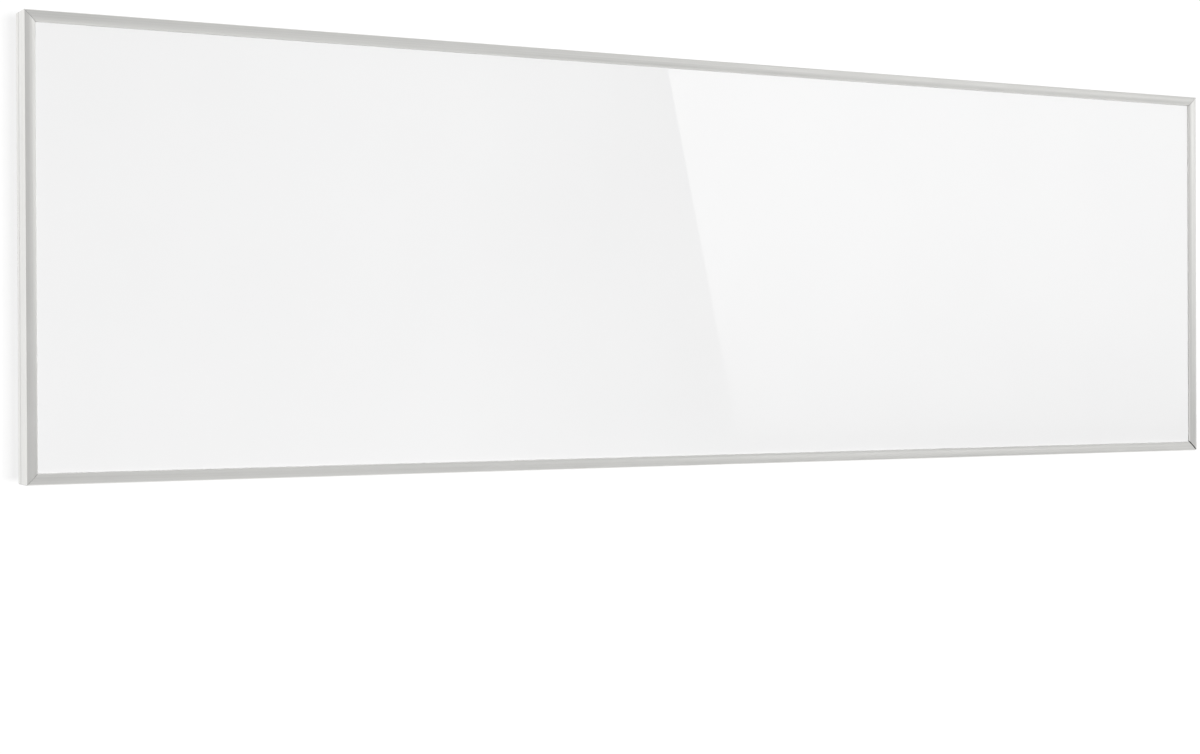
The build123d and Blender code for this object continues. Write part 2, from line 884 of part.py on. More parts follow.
def board_block(place, size):
    """A moulded part standing on the circuit board, with its far edges rounded."""
    length, height, depth = size
    with BuildPart() as block:
        with BuildSketch(upright(circuit_back_y)):
            with Locations(box_point(*place)):
                Rectangle(length, height)
        extrude(amount=-depth)
        fillet(block.faces().sort_by(Axis.Y)[-1].edges(), part_edge)
    return block


wireless_x = circuit_length / 2 - wireless_from_end - wireless_size[0] / 2
power_x = wireless_x - wireless_size[0] / 2 - power_gap - power_size[0] / 2
relay_x = power_x - power_size[0] / 2 - relay_gap - relay_size[0] / 2

relay = board_block((relay_x, relay_z), relay_size)
relay.part.label = "relay"
export_step(relay.part, "parts/relay.step")

power_module = board_block((power_x, power_z), power_size)
power_module.part.label = "power_module"
export_step(power_module.part, "parts/power_module.step")

with BuildPart() as wireless_module:
    module_length, module_height, module_thickness = wireless_size
    shield_length, shield_height, shield_depth = shield_size
    module_x, module_z = box_point(wireless_x, wireless_z)
    module_back_y = circuit_back_y + module_thickness
    shield_bottom = module_z - module_height / 2 + shield_margin
    with BuildSketch(upright(circuit_back_y)):
        with Locations((module_x, module_z)):
            Rectangle(module_length, module_height)
    extrude(amount=-module_thickness)
    with BuildSketch(upright(module_back_y)):
        with Locations((module_x, shield_bottom)):
            Rectangle(shield_length, shield_height, align=(Align.CENTER, Align.MIN))
    extrude(amount=-shield_depth)
    # The aerial folds back and forth on the board's bare end.
    with BuildSketch(upright(module_back_y)):
        first_z = shield_bottom + shield_height + shield_margin
        for turn in range(antenna_turns):
            turn_z = first_z + 2 * turn * antenna_trace
            side = 1 if turn % 2 == 0 else -1
            with Locations((module_x, turn_z)):
                Rectangle(shield_length, antenna_trace)
            if turn < antenna_turns - 1:
                with Locations((module_x + side * (shield_length - antenna_trace) / 2, turn_z)):
                    Rectangle(
                        antenna_trace, 2 * antenna_trace, align=(Align.CENTER, Align.MIN)
                    )
    extrude(amount=-antenna_rise)
wireless_module.part.label = "wireless_module"
export_step(wireless_module.part, "parts/wireless_module.step")

# ---------------------------------------------------------------- terminal block

pole_offsets = [(i - 1) * terminal_pitch for i in range(terminal_poles)]
live_pole_x, neutral_pole_x, earth_pole_x = [
    box_centre_x + terminal_x + offset_x for offset_x in pole_offsets
]
terminal_bottom_z = box_centre_z + circuit_bottom
terminal_back_y = circuit_back_y + terminal_depth
entry_y = circuit_back_y + terminal_depth / 2 - terminal_screw_sink
terminal_screw_points = [
    (box_centre_x + terminal_x + offset_x, terminal_bottom_z + terminal_height / 2)
    for offset_x in pole_offsets
]

with BuildPart() as terminal_block:
    with BuildSketch(upright(circuit_back_y)):
        with Locations((box_centre_x + terminal_x, terminal_bottom_z)):
            Rectangle(
                terminal_poles * terminal_pitch,
                terminal_height,
                align=(Align.CENTER, Align.MIN),
            )
    extrude(amount=-terminal_depth)
    chamfer(terminal_block.faces().sort_by(Axis.Y)[-1].edges().filter_by(Axis.X), part_edge)
    with BuildSketch(level(terminal_bottom_z)):
        with Locations(*[(x, entry_y) for x in (live_pole_x, neutral_pole_x, earth_pole_x)]):
            Circle(lead_radius + terminal_entry_play)
    extrude(amount=terminal_entry_depth, mode=Mode.SUBTRACT)
    with BuildSketch(upright(terminal_back_y)):
        with Locations(*terminal_screw_points):
            Circle(terminal_screw_radius + thread_fit)
    extrude(amount=terminal_screw_sink + terminal_screw_length, mode=Mode.SUBTRACT)
terminal_block.part.label = "terminal_block"
export_step(terminal_block.part, "parts/terminal_block.step")

with BuildPart() as terminal_screws:
    with BuildSketch(upright(terminal_back_y - terminal_screw_sink)):
        with Locations(*terminal_screw_points):
            RegularPolygon(terminal_screw_radius, fastener_sides)
    extrude(amount=terminal_screw_length)
terminal_screws.part.label = "terminal_screws"
export_step(terminal_screws.part, "parts/terminal_screws.step")

# ---------------------------------------------------------------- rocker switch

switch_centre_x = box_centre_x + switch_x
bezel_face_z = box_bottom_z - bezel_thickness
pivot_z = bezel_face_z + pivot_depth
tilt = radians(rocker_tilt)
rocker_reach = rocker_length / 2 * cos(tilt) + rocker_rise * sin(tilt)
bay_length = 2 * (rocker_reach + rocker_bay_play)
bay_width = rocker_width + 2 * rocker_bay_play
switch_top_z = box_bottom_z + switch_body_depth
tab_points = [(switch_centre_x + side * tab_spacing / 2, port_y) for side in (-1, 1)]

with BuildPart() as switch_housing:
    with BuildSketch(level(box_bottom_z)):
        with Locations((switch_centre_x, port_y)):
            RectangleRounded(bezel_length, bezel_width, bezel_radius)
    extrude(amount=-bezel_thickness)
    chamfer(switch_housing.faces().sort_by(Axis.Z)[0].edges(), bezel_thickness / 3)
    with BuildSketch(level(box_bottom_z)):
        with Locations((switch_centre_x, port_y)):
            Rectangle(switch_body_length, switch_body_width)
    extrude(amount=switch_body_depth)
    with BuildSketch(level(bezel_face_z)):
        with Locations((switch_centre_x, port_y)):
            Rectangle(bay_length, bay_width)
    extrude(amount=pivot_depth + rocker_bay_above, mode=Mode.SUBTRACT)
    with BuildSketch(upright(port_y)):
        with Locations((switch_centre_x, pivot_z)):
            Circle(pivot_radius + pivot_fit)
    extrude(amount=switch_body_width / 2, both=True, mode=Mode.SUBTRACT)
switch_housing.part.label = "switch_housing"
export_step(switch_housing.part, "parts/switch_housing.step")

# The rocker rests in its off position: tilted, with its right end pushed in.
rocker_plane = Plane(
    origin=(switch_centre_x, port_y, pivot_z),
    x_dir=(cos(tilt), 0, sin(tilt)),
    z_dir=(0, -1, 0),
)
with BuildPart() as power_rocker:
    with BuildSketch(rocker_plane):
        half_rocker = rocker_length / 2
        with BuildLine():
            ThreePointArc(
                (-half_rocker, -rocker_rise),
                (0, -rocker_rise + rocker_dish),
                (half_rocker, -rocker_rise),
            )
            Polyline(
                (half_rocker, -rocker_rise),
                (half_rocker - rocker_draft, rocker_shoulder),
                (rocker_hub, rocker_back),
                (-rocker_hub, rocker_back),
                (-half_rocker + rocker_draft, rocker_shoulder),
                (-half_rocker, -rocker_rise),
            )
        make_face()
    extrude(amount=rocker_width / 2, both=True)
    with BuildSketch(rocker_plane):
        Circle(pivot_radius)
    extrude(amount=rocker_width / 2 + pivot_length, both=True)
power_rocker.part.label = "power_rocker"
export_step(power_rocker.part, "parts/power_rocker.step")

with BuildPart() as switch_tabs:
    with BuildSketch(level(switch_top_z)):
        with Locations(*tab_points):
            Rectangle(tab_thickness, tab_width)
    extrude(amount=tab_length)
switch_tabs.part.label = "switch_tabs"
export_step(switch_tabs.part, "parts/switch_tabs.step")

# ---------------------------------------------------------------- pairing button and status light

tongue_bottom_z = box_centre_z + circuit_bottom - tongue_drop
plunger_tip_z = tongue_bottom_z - plunger_stand
button_x_y = port_point(button_x)
light_x_y = port_point(light_x)

with BuildPart() as tactile_switch:
    with BuildSketch(level(tongue_bottom_z)):
        with Locations((button_x_y[0], circuit_back_y)):
            Rectangle(
                tactile_side,
                port_y + tactile_side / 2 - circuit_back_y,
                align=(Align.CENTER, Align.MIN),
            )
    extrude(amount=tactile_depth)
    with BuildSketch(level(tongue_bottom_z)):
        with Locations(button_x_y):
            Circle(plunger_radius + thread_fit)
    extrude(amount=plunger_depth + button_travel + plunger_end_gap, mode=Mode.SUBTRACT)
tactile_switch.part.label = "tactile_switch"
export_step(tactile_switch.part, "parts/tactile_switch.step")

with BuildPart() as tactile_plunger:
    with BuildSketch(level(plunger_tip_z)):
        with Locations(button_x_y):
            Circle(plunger_radius)
    extrude(amount=plunger_stand + plunger_depth)
tactile_plunger.part.label = "tactile_plunger"
export_step(tactile_plunger.part, "parts/tactile_plunger.step")

with BuildPart() as pairing_button:
    with BuildSketch(level(box_bottom_z - button_stand)):
        with Locations(button_x_y):
            Circle(button_radius)
    extrude(amount=button_stand + box_wall)
    chamfer(pairing_button.faces().sort_by(Axis.Z)[0].edges(), button_stand / 3)
    with BuildSketch(level(box_floor_z)):
        with Locations(button_x_y):
            Circle(button_flange_radius)
    extrude(amount=button_flange_thickness)
    with BuildSketch(level(box_floor_z)):
        with Locations(button_x_y):
            Circle(button_stem_radius)
    extrude(amount=plunger_tip_z - box_floor_z)
pairing_button.part.label = "pairing_button"
export_step(pairing_button.part, "parts/pairing_button.step")

with BuildPart() as status_led:
    with BuildSketch(level(tongue_bottom_z)):
        with Locations((light_x_y[0], circuit_back_y)):
            Rectangle(
                led_side,
                port_y + led_side / 2 - circuit_back_y,
                align=(Align.CENTER, Align.MIN),
            )
    extrude(amount=led_depth)
status_led.part.label = "status_led"
export_step(status_led.part, "parts/status_led.step")

with BuildPart() as light_guide:
    with BuildSketch(level(box_bottom_z - light_stand)):
        with Locations(light_x_y):
            Circle(light_radius)
    extrude(amount=tongue_bottom_z - light_gap - box_bottom_z + light_stand)
    fillet(light_guide.faces().sort_by(Axis.Z)[0].edges(), light_stand)
    with BuildSketch(level(box_floor_z)):
        with Locations(light_x_y):
            Circle(light_flange_radius)
    extrude(amount=light_flange_thickness)
light_guide.part.label = "light_guide"
export_step(light_guide.part, "parts/light_guide.step")

# ---------------------------------------------------------------- cable gland

gland_x_y = port_point(gland_x)
collar_bottom_z = box_bottom_z - gland_collar
gland_end_z = collar_bottom_z - gland_outer_length
seal_bottom_z = gland_end_z - seal_stand
cap_top_z = collar_bottom_z - cap_gap

with BuildPart() as gland_body:
    with BuildSketch(level(gland_end_z)):
        with Locations(gland_x_y):
            Circle(gland_thread_radius)
    extrude(amount=gland_outer_length + gland_collar + gland_inner_length)
    with BuildSketch(level(collar_bottom_z)):
        with Locations(gland_x_y):
            RegularPolygon(gland_flats / 2, 6, major_radius=False)
    extrude(amount=gland_collar)
    with BuildSketch(level(gland_end_z)):
        with Locations(gland_x_y):
            Circle(gland_bore_radius)
    extrude(
        amount=gland_outer_length + gland_collar + gland_inner_length, mode=Mode.SUBTRACT
    )
    with BuildSketch(level(gland_end_z)):
        with Locations(gland_x_y):
            Circle(gland_seat_radius)
    extrude(amount=seal_length - seal_stand, mode=Mode.SUBTRACT)
gland_body.part.label = "gland_body"
export_step(gland_body.part, "parts/gland_body.step")

with BuildPart() as gland_seal:
    with BuildSketch(level(seal_bottom_z)):
        with Locations(gland_x_y):
            Circle(gland_seat_radius - gland_fit)
            Circle(seal_bore_radius, mode=Mode.SUBTRACT)
    extrude(amount=seal_length)
gland_seal.part.label = "gland_seal"
export_step(gland_seal.part, "parts/gland_seal.step")

with BuildPart() as gland_cap:
    with BuildSketch(level(cap_top_z)):
        with Locations(gland_x_y):
            RegularPolygon(gland_flats / 2, 6, major_radius=False)
    extrude(amount=-cap_hex_length)
    with BuildSketch(level(cap_top_z - cap_hex_length)):
        with Locations(gland_x_y):
            Circle(cap_nose_radius)
    extrude(amount=-cap_nose_length)
    fillet(gland_cap.faces().sort_by(Axis.Z)[0].edges(), cap_dome)
    with BuildSketch(level(seal_bottom_z)):
        with Locations(gland_x_y):
            Circle(gland_thread_radius + gland_fit)
    extrude(amount=cap_top_z - seal_bottom_z, mode=Mode.SUBTRACT)
    with BuildSketch(level(seal_bottom_z)):
        with Locations(gland_x_y):
            Circle(cap_mouth_radius)
    extrude(amount=-(cap_hex_length + cap_nose_length), mode=Mode.SUBTRACT)
gland_cap.part.label = "gland_cap"
export_step(gland_cap.part, "parts/gland_cap.step")

with BuildPart() as gland_locknut:
    with BuildSketch(level(box_floor_z)):
        with Locations(gland_x_y):
            RegularPolygon(locknut_flats / 2, 6, major_radius=False)
            Circle(gland_thread_radius + gland_fit, mode=Mode.SUBTRACT)
    extrude(amount=locknut_thickness)
gland_locknut.part.label = "gland_locknut"
export_step(gland_locknut.part, "parts/gland_locknut.step")

# ---------------------------------------------------------------- grommet, earth point, limiters

with BuildPart() as wiring_grommet:
    with BuildSketch(upright(plate_outer_y + grommet_lip)):
        with Locations(wiring_point):
            Circle(wiring_hole_radius + grommet_brim)
    extrude(amount=grommet_lip)
    with BuildSketch(upright(plate_outer_y)):
        with Locations(wiring_point):
            Circle(wiring_hole_radius)
    extrude(amount=plate_thickness)
    with BuildSketch(upright(plate_inner_y)):
        with Locations(wiring_point):
            Circle(wiring_hole_radius + grommet_brim)
    extrude(amount=grommet_lip)
    with BuildSketch(upright(plate_outer_y + grommet_lip)):
        with Locations(wiring_point):
            Circle(wiring_hole_radius - grommet_wall)
    extrude(amount=plate_thickness + 2 * grommet_lip, mode=Mode.SUBTRACT)
wiring_grommet.part.label = "wiring_grommet"
export_step(wiring_grommet.part, "parts/wiring_grommet.step")

ring_back_y = plate_outer_y + earth_ring_thickness
tongue_foot_z = earth_point[1] + earth_tongue_offset
earth_lead_y = base_floor_y + earth_lead_rise
with BuildPart() as earth_terminal:
    with BuildSketch(upright(plate_outer_y)):
        with Locations(earth_point):
            Circle(earth_ring_radius)
            Circle(earth_screw_radius + screw_hole_play, mode=Mode.SUBTRACT)
    extrude(amount=-earth_ring_thickness)
    with BuildSketch(upright(plate_outer_y)):
        with Locations((earth_point[0], tongue_foot_z)):
            Rectangle(
                earth_tongue_width, earth_ring_thickness, align=(Align.CENTER, Align.MIN)
            )
    extrude(amount=-(earth_lead_y + lead_radius - plate_outer_y))
earth_terminal.part.label = "earth_terminal"
export_step(earth_terminal.part, "parts/earth_terminal.step")

with BuildPart() as earth_screw:
    with BuildSketch(upright(ring_back_y)):
        with Locations(earth_point):
            Circle(earth_screw_radius)
    extrude(amount=earth_ring_thickness + plate_thickness + earth_nut_thickness)
    with BuildSketch(upright(ring_back_y)):
        with Locations(earth_point):
            Circle(earth_screw_head_radius)
    extrude(amount=-earth_screw_head_height)
earth_screw.part.label = "earth_screw"
export_step(earth_screw.part, "parts/earth_screw.step")

with BuildPart() as earth_nut:
    with BuildSketch(upright(plate_inner_y)):
        with Locations(earth_point):
            RegularPolygon(earth_nut_flats / 2, 6, major_radius=False)
            Circle(earth_screw_radius + thread_fit, mode=Mode.SUBTRACT)
    extrude(amount=earth_nut_thickness)
earth_nut.part.label = "earth_nut"
export_step(earth_nut.part, "parts/earth_nut.step")

limiter_cap_back_y = sheet_back_y + limiter_cap_height
limiter_back_y = limiter_cap_back_y + limiter_body_height
for number, limiter_x in enumerate((first_limiter_x, second_limiter_x), start=1):
    with BuildPart() as limiter:
        with BuildSketch(upright(sheet_back_y)):
            with Locations((limiter_x, limiter_z)):
                Circle(limiter_radius)
        extrude(amount=-limiter_cap_height)
        with BuildSketch(upright(limiter_cap_back_y)):
            with Locations((limiter_x, limiter_z)):
                Circle(limiter_body_radius)
        extrude(amount=-limiter_body_height)
        with BuildSketch(upright(limiter_back_y)):
            with Locations(
                (limiter_x - limiter_tab_inset, limiter_z),
                (limiter_x + limiter_tab_inset, limiter_z),
            ):
                Rectangle(limiter_tab_thickness, limiter_tab_width)
        extrude(amount=-limiter_tab_height)
    limiter.part.label = f"temperature_limiter_{number}"
    export_step(limiter.part, f"parts/temperature_limiter_{number}.step")

with BuildPart() as track_tabs:
    for end_x in (live_end_x, neutral_end_x):
        with BuildSketch(upright(track_back_y)):
            with Locations((end_x, track_bottom_z)):
                Rectangle(end_tab_foot, end_tab_width)
        extrude(amount=-end_tab_thickness)
        with BuildSketch(upright(track_back_y)):
            with Locations((end_x + end_tab_foot / 2, track_bottom_z)):
                Rectangle(
                    end_tab_thickness, end_tab_width, align=(Align.MAX, Align.CENTER)
                )
        extrude(amount=-end_tab_height)
track_tabs.part.label = "track_tabs"
export_step(track_tabs.part, "parts/track_tabs.step")

# ---------------------------------------------------------------- leads


def make_lead(label, routes, bend):
    """Round leads along straight runs joined by arcs."""
    with BuildPart() as lead:
        for points in routes:
            with BuildLine() as route:
                FilletPolyline(*points, radius=bend)
            with BuildSketch(Plane(origin=route.line @ 0, z_dir=route.line % 0)):
                Circle(lead_radius)
            sweep(path=route.line)
    lead.part.label = label
    export_step(lead.part, f"parts/{label}.step")


lead_start_z = terminal_bottom_z + terminal_lead_depth
pocket_lead_y = track_back_y + pocket_lead_rise
hole_z = wiring_point[1]
tab_half = limiter_tab_thickness / 2
first_left_tab = first_limiter_x - limiter_tab_inset - tab_half
first_right_tab = first_limiter_x + limiter_tab_inset + tab_half
second_left_tab = second_limiter_x - limiter_tab_inset - tab_half
second_right_tab = second_limiter_x + limiter_tab_inset + tab_half
feed_x = second_limiter_x + feed_lead_margin
live_tab_face = live_end_x + end_tab_foot / 2
neutral_tab_face = neutral_end_x + end_tab_foot / 2

live_route = (
    (live_pole_x, entry_y, lead_start_z),
    (live_pole_x, entry_y, hole_z),
    (live_pole_x, pocket_lead_y, hole_z),
    (live_pole_x, pocket_lead_y, limiter_z),
    (first_left_tab, pocket_lead_y, limiter_z),
)
neutral_route = (
    (neutral_pole_x, entry_y, lead_start_z),
    (neutral_pole_x, entry_y, hole_z),
    (neutral_pole_x, pocket_lead_y, hole_z),
    (neutral_pole_x, pocket_lead_y, track_bottom_z),
    (neutral_tab_face, pocket_lead_y, track_bottom_z),
)
feed_route = (
    (second_right_tab, pocket_lead_y, limiter_z),
    (feed_x, pocket_lead_y, limiter_z),
    (feed_x, pocket_lead_y, track_bottom_z),
    (live_tab_face, pocket_lead_y, track_bottom_z),
)
earth_turn_z = box_centre_z + wiring_hole_z + lead_bend
earth_run_z = box_centre_z + earth_lead_z
earth_route = (
    (earth_pole_x, entry_y, lead_start_z),
    (earth_pole_x, entry_y, earth_turn_z),
    (earth_pole_x, earth_lead_y, earth_turn_z),
    (earth_pole_x, earth_lead_y, earth_run_z),
    (earth_point[0], earth_lead_y, earth_run_z),
    (earth_point[0], earth_lead_y, tongue_foot_z + earth_ring_thickness),
)
make_lead("live_lead", [live_route], lead_bend)
make_lead("neutral_lead", [neutral_route], lead_bend)
make_lead("feed_lead", [feed_route], lead_bend)
make_lead("earth_lead", [earth_route], lead_bend)

with BuildPart() as link_lead:
    with BuildSketch(
        Plane(origin=(first_right_tab, pocket_lead_y, limiter_z), z_dir=(1, 0, 0))
    ):
        Circle(lead_radius)
    extrude(amount=second_left_tab - first_right_tab)
link_lead.part.label = "link_lead"
export_step(link_lead.part, "parts/link_lead.step")

switch_lead_z = box_centre_z + circuit_bottom + board_hole_inset
switch_routes = [
    (
        (x, port_y, switch_top_z + tab_length),
        (x, port_y, switch_lead_z),
        (x, circuit_back_y, switch_lead_z),
    )
    for x, y in tab_points
]
make_lead("switch_leads", switch_routes, switch_lead_bend)
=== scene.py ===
"""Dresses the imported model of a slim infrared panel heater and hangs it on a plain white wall.

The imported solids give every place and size. What is seen from outside gets finer meshes, and the
rest keeps its solid and gets a worked finish. An effect that several finishes share is one shader
node group.
"""

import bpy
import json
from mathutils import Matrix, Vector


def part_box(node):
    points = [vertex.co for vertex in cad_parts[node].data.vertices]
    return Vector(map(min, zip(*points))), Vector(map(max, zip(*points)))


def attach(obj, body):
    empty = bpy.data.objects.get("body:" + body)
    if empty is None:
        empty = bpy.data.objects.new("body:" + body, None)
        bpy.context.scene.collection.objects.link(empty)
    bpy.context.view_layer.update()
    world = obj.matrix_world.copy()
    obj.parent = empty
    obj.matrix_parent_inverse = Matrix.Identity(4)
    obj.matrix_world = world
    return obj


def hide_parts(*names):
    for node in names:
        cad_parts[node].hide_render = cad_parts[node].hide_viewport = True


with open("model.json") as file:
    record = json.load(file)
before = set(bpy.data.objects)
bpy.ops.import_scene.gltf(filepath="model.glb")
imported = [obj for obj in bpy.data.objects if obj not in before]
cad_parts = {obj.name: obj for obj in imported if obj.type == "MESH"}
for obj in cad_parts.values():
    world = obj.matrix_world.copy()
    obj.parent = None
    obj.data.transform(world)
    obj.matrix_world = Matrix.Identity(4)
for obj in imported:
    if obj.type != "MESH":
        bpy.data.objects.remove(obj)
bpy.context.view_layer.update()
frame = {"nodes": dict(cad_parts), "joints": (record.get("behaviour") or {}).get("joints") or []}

import json
import math

import bmesh
import bpy
from bpy.props import FloatProperty, FloatVectorProperty, PointerProperty
from mathutils import Euler, Matrix, Vector, noise

bl_info = {
    "name": "Infrared Panel Heater",
    "version": (1, 0, 0),
    "blender": (4, 5, 0),
    "location": "View3D > Sidebar > Heater",
    "description": "Dresses the solids of a wall-hung infrared panel heater and sets up its studio",
    "category": "Object",
}

HEATER, ROCKER, BUTTON = "heater", "rocker", "button"


# ------------------------------------------------------------------------ settings


def length(name, description, default):
    """A length in metres that a user may change."""
    return FloatProperty(
        name=name, description=description, default=default, min=0.0, precision=5, unit="LENGTH"
    )


def colour(name, description, default):
    """A colour that a user may change."""
    return FloatVectorProperty(
        name=name, description=description, default=default, min=0.0, max=1.0, subtype="COLOR"
    )


def number(name, description, default, **limits):
    """A plain number that a user may change, from 0 up unless its limits say otherwise."""
    limits = {"min": 0.0, **limits}
    return FloatProperty(name=name, description=description, default=default, **limits)


class HeaterSizes(bpy.types.PropertyGroup):
    """Sizes of the dressed pieces, beyond what the solids say."""

    lip_width: length("Lip width", "Width of the frame's lip over the front", 0.0075)
    lip_thickness: length("Lip thickness", "From the lip's inner edge to the front", 0.0015)
    lip_rise: length("Lip rise", "How far the outer edge lies behind the crown", 0.00022)
    lip_fall: length("Lip fall", "How far the inner edge lies behind the crown", 0.0012)
    rail_wall: length("Rail wall", "Thickness of the frame's outer wall", 0.0015)
    rail_web: length("Rail web", "Thickness of the rail's inner webs", 0.0012)
    flange_reach: length("Flange reach", "How far the back flange reaches inwards", 0.013)
    groove: length("Groove", "Width of the line round the frame's side", 0.0012)
    groove_from_back: length("Groove place", "From the back rim to the line", 0.0062)
    arris: length("Arris", "Rounding of the frame's front edge", 0.0005)
    inner_arris: length("Inner arris", "Rounding of the lip's inner edge", 0.0008)
    mitre_gap: length("Mitre gap", "Gap at the closed mitres", 0.00009)
    open_mitre_gap: length("Open mitre gap", "Gap at the lower right mitre", 0.001)
    mitre_break: length("Mitre break", "Chamfer along a mitre's edges", 0.0001)
    panel_corner: length("Front corner", "Corner radius of the front", 0.001)
    panel_edge: length("Front edge", "Rounding of the front's edge", 0.0004)
    screw_end_margin: length("Screw margin, long", "From the front's end to a row's end", 0.035)
    screw_side_margin: length("Screw margin, short", "From the front's side to a short row", 0.075)
    screw_inset: length("Screw inset", "From the frame's edge to its screws", 0.009)
    screw_head: length("Screw head", "Radius of a back plate screw's head", 0.003)
    screw_height: length("Screw height", "Height of a back plate screw's head", 0.0018)
    cover_screw_head: length("Cover screw head", "Radius of a cover screw's head", 0.0023)
    cover_screw_height: length("Cover screw height", "Height of a cover screw's head", 0.0013)
    cover_screw_inset: length("Cover screw inset", "From the cover's edges to its screws", 0.008)
    cover_screw_sink: length("Cover screw sink", "Depth of a cover screw's seat", 0.001)
    rivet_head: length("Rivet head", "Radius of a rivet's head", 0.0032)
    rivet_height: length("Rivet height", "Height of a rivet's head", 0.001)
    rivet_bore: length("Rivet bore", "Radius of the hole left by the rivet's pin", 0.0009)
    rivet_span_x: length("Rivet span, across", "Between a hanger's rivets, across", 0.055)
    rivet_span_z: length("Rivet span, up", "Between a hanger's rivets, up", 0.04)
    hanger_sheet: length("Hanger sheet", "Thickness of the hangers' steel", 0.0015)
    mark_width: length("Mark width", "Stroke of the switch's two marks", 0.0006)
    mark_size: length("Mark size", "Height of the switch's two marks", 0.0034)


class HeaterColours(bpy.types.PropertyGroup):
    """Base colours of the finishes, as linear values."""

    frame_metal: colour("Frame", "Satin anodised rails", (0.76, 0.757, 0.738))
    enamel: colour("Front", "Gloss white front", (0.845, 0.845, 0.846))
    back_paint: colour("Back", "Textured paint of the back plate", (0.72, 0.72, 0.71))
    zinc: colour("Zinc", "Galvanised hangers", (0.52, 0.53, 0.54))
    steel: colour("Screws", "Plated screws and rivets", (0.58, 0.58, 0.57))
    box_plastic: colour("Control box", "Fine-textured plastic", (0.70, 0.70, 0.69))
    switch_plastic: colour("Switch", "Rocker switch", (0.022, 0.022, 0.024))
    gland_plastic: colour("Gland", "Cable gland", (0.42, 0.43, 0.44))
    rubber: colour("Rubber", "Seal and grommet", (0.030, 0.030, 0.031))
    marks: colour("Marks", "Filled marks on the switch", (0.86, 0.86, 0.84))


class StudioSettings(bpy.types.PropertyGroup):
    """Camera, lamps and backdrop."""

    focal_length: number("Focal length", "Lens, in millimetres", 63.756, min=1.0)
    camera_place: FloatVectorProperty(
        name="Camera place", description="Where the camera stands",
        default=(-0.828115, -1.416208, -0.076749), subtype="TRANSLATION", unit="LENGTH",
    )
    camera_turn: FloatVectorProperty(
        name="Camera turn", description="How the camera is turned", subtype="EULER",
        default=tuple(math.radians(angle) for angle in (89.67994, 0.23352, -28.49556)),
    )
    backdrop: colour("Backdrop", "Wall and floor where light falls on them", (0.25, 0.25, 0.25))
    backdrop_glow: number("Backdrop glow", "White that the wall shows of itself", 0.78, max=1.0)
    floor_drop: length("Floor drop", "From the heater's middle down to the floor", 0.95)
    room_light: number("Room light", "Even light from all sides", 0.45)
    front_lamp: number("Front lamp", "Power, in watts", 196.0)
    back_lamp: number("Back lamp", "Power, in watts", 26.0)
    card_light: number("Card light", "Strength of the card that the gloss front mirrors", 1.12)
    room_grey: number("Room grey", "Brightness of the room that metal and gloss show", 0.56)


# ------------------------------------------------------------------------ shader nodes


def add(tree, kind, inputs=None, **settings):
    """A new shader node. Its inputs are given by name or number, as values or sockets to link."""
    node = tree.nodes.new("ShaderNode" + kind)
    for key, value in settings.items():
        setattr(node, key, value)
    for key, value in (inputs or {}).items():
        if isinstance(value, bpy.types.NodeSocket):
            tree.links.new(value, node.inputs[key])
        else:
            node.inputs[key].default_value = value
    node.location = (len(tree.nodes) % 6 * 220, -(len(tree.nodes) // 6) * 260)
    return node


def maths(tree, operation, first, second):
    """The result of one sum on two values or sockets."""
    return add(tree, "Math", {0: first, 1: second}, operation=operation).outputs[0]


def times(tree, first, second):
    """Two values multiplied."""
    return maths(tree, "MULTIPLY", first, second)


def weigh(tree, first, share, second, rest=None):
    """A share of the first value, and the second or the rest of it, added up."""
    if rest is not None:
        second = times(tree, second, rest)
    return maths(tree, "ADD", times(tree, first, share), second)


def ramp(tree, value, low, high, start=0.0, end=1.0):
    """Value taken from the span low to high onto start to end, and held there."""
    spans = {"Value": value, "From Min": low, "From Max": high, "To Min": start, "To Max": end}
    return add(tree, "MapRange", spans).outputs[0]


def blend(tree, factor, first, second):
    """Colour between two colours."""
    return add(tree, "Mix", {0: factor, 6: first, 7: second}, data_type="RGBA").outputs[2]


def cloud(tree, place, scale, detail=2.0, roughness=0.5):
    """Noise from 0 to 1 at this many waves per metre."""
    inputs = {"Vector": place, "Scale": scale, "Detail": detail, "Roughness": roughness}
    return add(tree, "TexNoise", inputs).outputs[0]


def drawn_grain(tree, start, place):
    """Fine lines and broader streaks along an extruded or drawn metal."""
    stretched = add(tree, "VectorMath", {0: place, 1: start["Stretch"]}, operation="MULTIPLY")
    lines = cloud(tree, stretched.outputs[0], 1.0, detail=3.0, roughness=0.6)
    streaks = cloud(tree, stretched.outputs[0], 0.23)
    specks = cloud(tree, place, 2600.0, detail=1.0)
    tone = weigh(tree, streaks, 0.65, lines, 0.35)
    return {"Height": weigh(tree, specks, 0.3, lines), "Tone": ramp(tree, tone, 0.33, 0.67)}


def moulded_skin(tree, start, place):
    """Spark-eroded texture of a moulded or powder-coated surface."""
    grains = add(tree, "TexVoronoi", {"Vector": place, "Scale": start["Grains"]}).outputs[0]
    fine = cloud(tree, place, start["Grains"], detail=3.0, roughness=0.7)
    broad = cloud(tree, place, times(tree, start["Grains"], 0.012), detail=3.0)
    tone = weigh(tree, broad, 0.7, fine, 0.3)
    return {"Height": weigh(tree, fine, 0.6, grains, 0.4), "Tone": ramp(tree, tone, 0.35, 0.65)}


def enamel_skin(tree, start, place):
    """Soft ripples of a gloss coat that flowed out before it set."""
    ripples = cloud(tree, place, start["Ripples"], detail=1.0)
    waves = cloud(tree, place, times(tree, start["Ripples"], 0.03), detail=1.0)
    tone = cloud(tree, place, 9.0, detail=4.0)
    return {"Height": weigh(tree, ripples, 0.22, waves), "Tone": ramp(tree, tone, 0.35, 0.65)}


